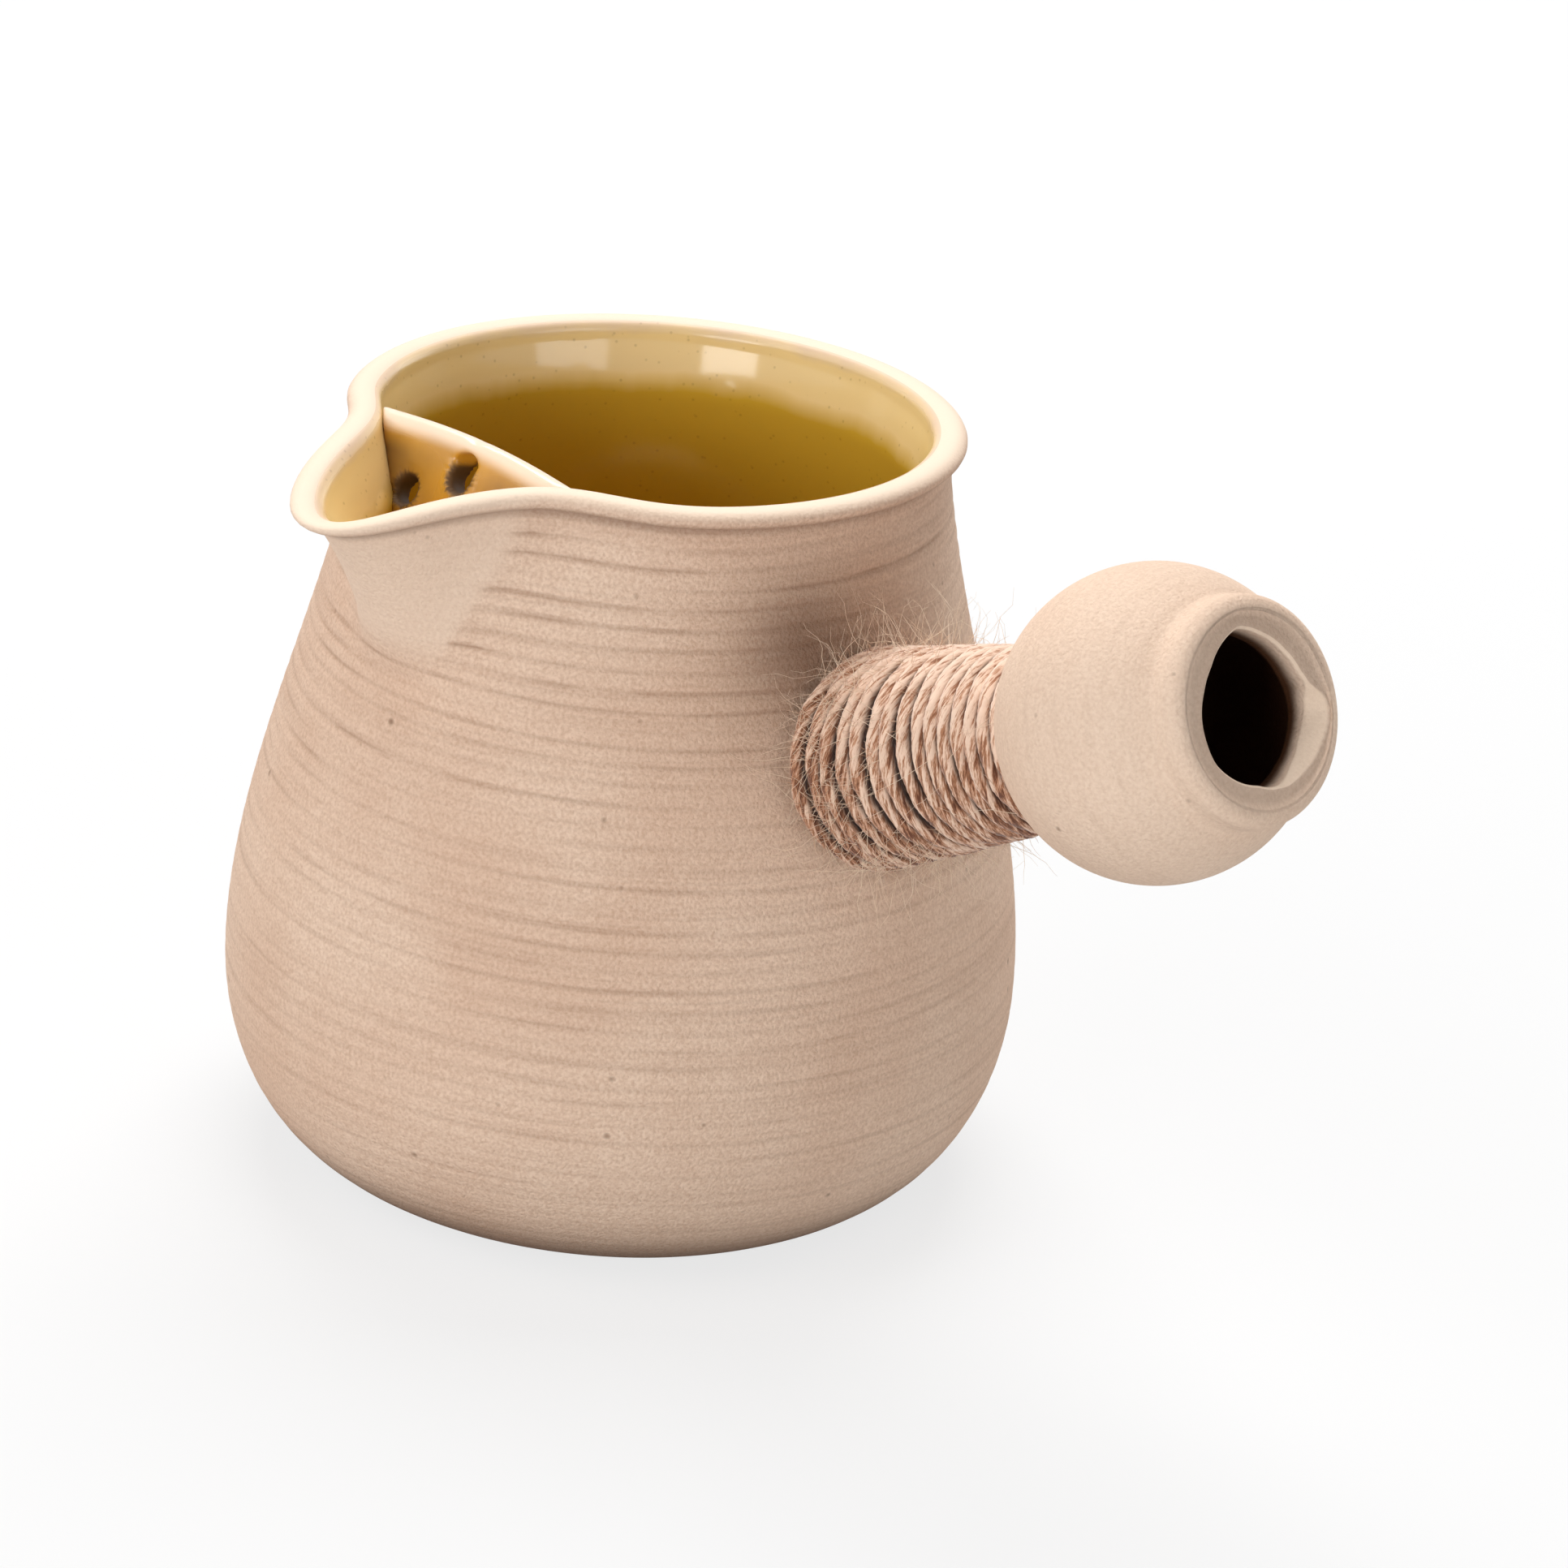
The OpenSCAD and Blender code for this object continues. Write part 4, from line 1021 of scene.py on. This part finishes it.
def fibreTree():
    tree, given = newTree("looseFibres", "Density Short Long Thickness Lean Curl CurlSize Taper",
                          "Points Sides Seed")
    add = partial(addNode, tree)
    share = add("GeometryNodeInputNamedAttribute", {"Name": "fray"})
    density = add("ShaderNodeMath", {0: share, 1: given["Density"]}, operation="MULTIPLY")
    roots = add("GeometryNodeDistributePointsOnFaces", {
        "Mesh": given["Geometry"], "Density": density, "Seed": given["Seed"]})
    way = add("FunctionNodeRandomValue", {0: (-1, -1, -1), 1: (1, 1, 1), "Seed": given["Seed"]},
              data_type="FLOAT_VECTOR")
    way = add("ShaderNodeVectorMath", {0: way, "Scale": given["Lean"]}, operation="SCALE")
    way = add("ShaderNodeVectorMath", {0: roots.outputs["Normal"], 1: way})
    stand = add("FunctionNodeAlignRotationToVector", {"Vector": way}, axis="Z")
    draw = add("FunctionNodeRandomValue", {2: 0.0, 3: 1.0, "Seed": given["Seed"]})
    most = add("ShaderNodeMath", {0: draw, 1: 2.0}, operation="POWER")  # more short ones than long ones
    reach = add("ShaderNodeMapRange", {0: most, 3: given["Short"], 4: given["Long"]})
    size = add("ShaderNodeCombineXYZ", {0: reach, 1: reach, 2: reach})
    tinted = add("GeometryNodeStoreNamedAttribute", {"Geometry": roots, "Name": "tint", "Value": draw})
    line = add("GeometryNodeCurvePrimitiveLine", {"End": (0, 0, 1)})
    line = add("GeometryNodeResampleCurve", {"Curve": line, "Count": given["Points"]})
    placed = add("GeometryNodeInstanceOnPoints", {
        "Points": tinted, "Instance": line, "Rotation": stand, "Scale": size})
    loose = add("GeometryNodeRealizeInstances", {0: placed})

    # Each fibre curls more towards its tip and thins out
    along = add("GeometryNodeSplineParameter").outputs
    fine = add("ShaderNodeMath", {0: 1.0, 1: given["CurlSize"]}, operation="DIVIDE")
    bend = add("ShaderNodeTexNoise", {"Scale": fine, "Detail": 1.0})
    bend = add("ShaderNodeVectorMath", {0: bend.outputs["Color"], 1: (0.5, 0.5, 0.5)}, operation="SUBTRACT")
    much = along["Length"]
    for share in (along["Factor"], given["Curl"]):
        much = add("ShaderNodeMath", {0: much, 1: share}, operation="MULTIPLY")
    bend = add("ShaderNodeVectorMath", {0: bend, "Scale": much}, operation="SCALE")
    curled = add("GeometryNodeSetPosition", {"Geometry": loose, "Offset": bend})
    thin = add("ShaderNodeMath", {0: along["Factor"], 1: given["Taper"]}, operation="MULTIPLY")
    thin = add("ShaderNodeMath", {0: 1.0, 1: thin}, operation="SUBTRACT")
    thin = add("ShaderNodeMath", {0: thin, 1: given["Thickness"]}, operation="MULTIPLY")
    section = add("GeometryNodeCurvePrimitiveCircle", {"Resolution": given["Sides"], "Radius": 0.5})
    hair = add("GeometryNodeCurveToMesh", {
        "Curve": curled, "Profile Curve": section, "Scale": thin, "Fill Caps": True})
    endTree(tree, hair, bastFibre)
    return tree


def makeFibres():
    mesh = wound.data.copy()
    s, standing, upside = windingPlace(mesh)
    outside = smoothStep(fray["bareFrom"], 1, standing)
    near = smoothStep(fray["fadeOver"] * flatS, 0, s)
    setAttribute(mesh, "fray", outside * (fray["nearGlobe"] + (fray["nearPot"] - fray["nearGlobe"]) * near))
    root = newObject("fibreRoots", mesh)
    addTree(root, fibreTree(), Density=fray["perSquareMm"] / mm ** 2, Short=fray["shortMm"] * mm,
            Long=fray["longMm"] * mm, Thickness=fray["thick"] * mm, Lean=fray["lean"], Curl=fray["curl"],
            CurlSize=fray["curlMm"] * mm, Points=fray["points"], Sides=fray["sides"], Taper=fray["taper"],
            Seed=fray["seed"])
    mesh = plainMesh(root)
    bpy.data.objects.remove(root)

    # Fibres that would grow into the pot's wall are left out
    points = np.array([v.co for v in mesh.vertices]) / mm
    clear = np.hypot(points[:, 0], points[:, 1]) - wallRadius(points[:, 2])
    each = fray["points"] * fray["sides"]
    lost = np.repeat(clear.reshape(-1, each).min(axis=1) < -fray["intoWall"], each)
    form = bmesh.new()
    form.from_mesh(mesh)
    bmesh.ops.delete(form, geom=[v for v, gone in zip(form.verts, lost) if gone], context="VERTS")
    form.to_mesh(mesh)
    form.free()
    obj = newObject("looseFibres", mesh)
    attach(obj, "root")
    print("loose fibre faces", len(obj.data.polygons))


makeFibres()
print("stage: twine frayed")


# Studio: white surroundings, a high soft light from behind, weak cards at the back on both sides, and
# softboxes at the left, in front and at the right

studio = {
    "surround": 0.03, "floorHalf": 3000, "floorWhite": 0.8, "floorBounce": 0.52, "floorGlow": 0.75,
    "lights": [  # name, azimuth, elevation, distance, size, share of a white card's brightness
        ("highBackCard", 228, 62, 1200, 900, 1.12),
        ("rightBackCard", 180, 14, 1200, 800, 0.24),
        ("leftBackCard", -60, 20, 1200, 800, 0.09),
        ("leftSoftbox", -16, 33, 1200, 850, 0.36),
        ("frontSoftbox", 19, 12.5, 1100, 460, 0.34),  # seen in the band of glaze
        ("rightSoftbox", 88, 12.5, 1000, 560, 0.27),
    ],
}


# 1 for the rays that see the background, 0 for those that carry light
def seenShare(tree):
    rays = addNode(tree, "ShaderNodeLightPath").outputs
    seen = rays["Is Camera Ray"]
    for kind in ("Is Glossy Ray", "Is Transmission Ray"):
        seen = addNode(tree, "ShaderNodeMath", {0: seen, 1: rays[kind]}, operation="MAXIMUM")
    return seen


def makeStudio():
    world = bpy.data.worlds.new("studio")
    world.use_nodes = True
    scene.world = world
    world.node_tree.nodes.clear()
    add = partial(addNode, world.node_tree)
    strength = add("ShaderNodeMapRange", {0: seenShare(world.node_tree), 3: studio["surround"], 4: 1.0})
    sky = add("ShaderNodeBackground", {"Color": (1, 1, 1, 1), "Strength": strength})
    add("ShaderNodeOutputWorld", {0: sky})

    material, tree = newMaterial("paleFloor")
    add = partial(addNode, tree)
    bounce = add("ShaderNodeBsdfDiffuse", {"Color": [studio["floorBounce"]] * 3 + [1]})
    card = add("ShaderNodeBsdfDiffuse", {"Color": [studio["floorWhite"]] * 3 + [1]})
    glow = add("ShaderNodeEmission", {"Color": (1, 1, 1, 1), "Strength": 1.0})
    shown = add("ShaderNodeMixShader", {0: studio["floorGlow"], 1: card, 2: glow})
    both = add("ShaderNodeMixShader", {0: seenShare(tree), 1: bounce, 2: shown})
    add("ShaderNodeOutputMaterial", {0: both})
    half = studio["floorHalf"] * mm
    corners = [(-half, -half, 0), (half, -half, 0), (half, half, 0), (-half, half, 0)]
    mesh = bpy.data.meshes.new("paleFloor")
    mesh.from_pydata(corners, [], [(0, 1, 2, 3)])
    newObject("paleFloor", mesh, material)

    for name, azimuth, elevation, distance, size, level in studio["lights"]:
        lamp = bpy.data.lights.new(name, "AREA")
        lamp.shape = "SQUARE"
        lamp.size = size * mm
        lamp.energy = level * (math.pi * distance * mm) ** 2
        obj = newObject(name, lamp)
        way = directionTo(azimuth, elevation)
        obj.location = (Vector(photoCamera["target"]) + distance * way) * mm
        obj.rotation_euler = way.to_track_quat("Z", "Y").to_euler()


makeStudio()
print("stage: studio lit")
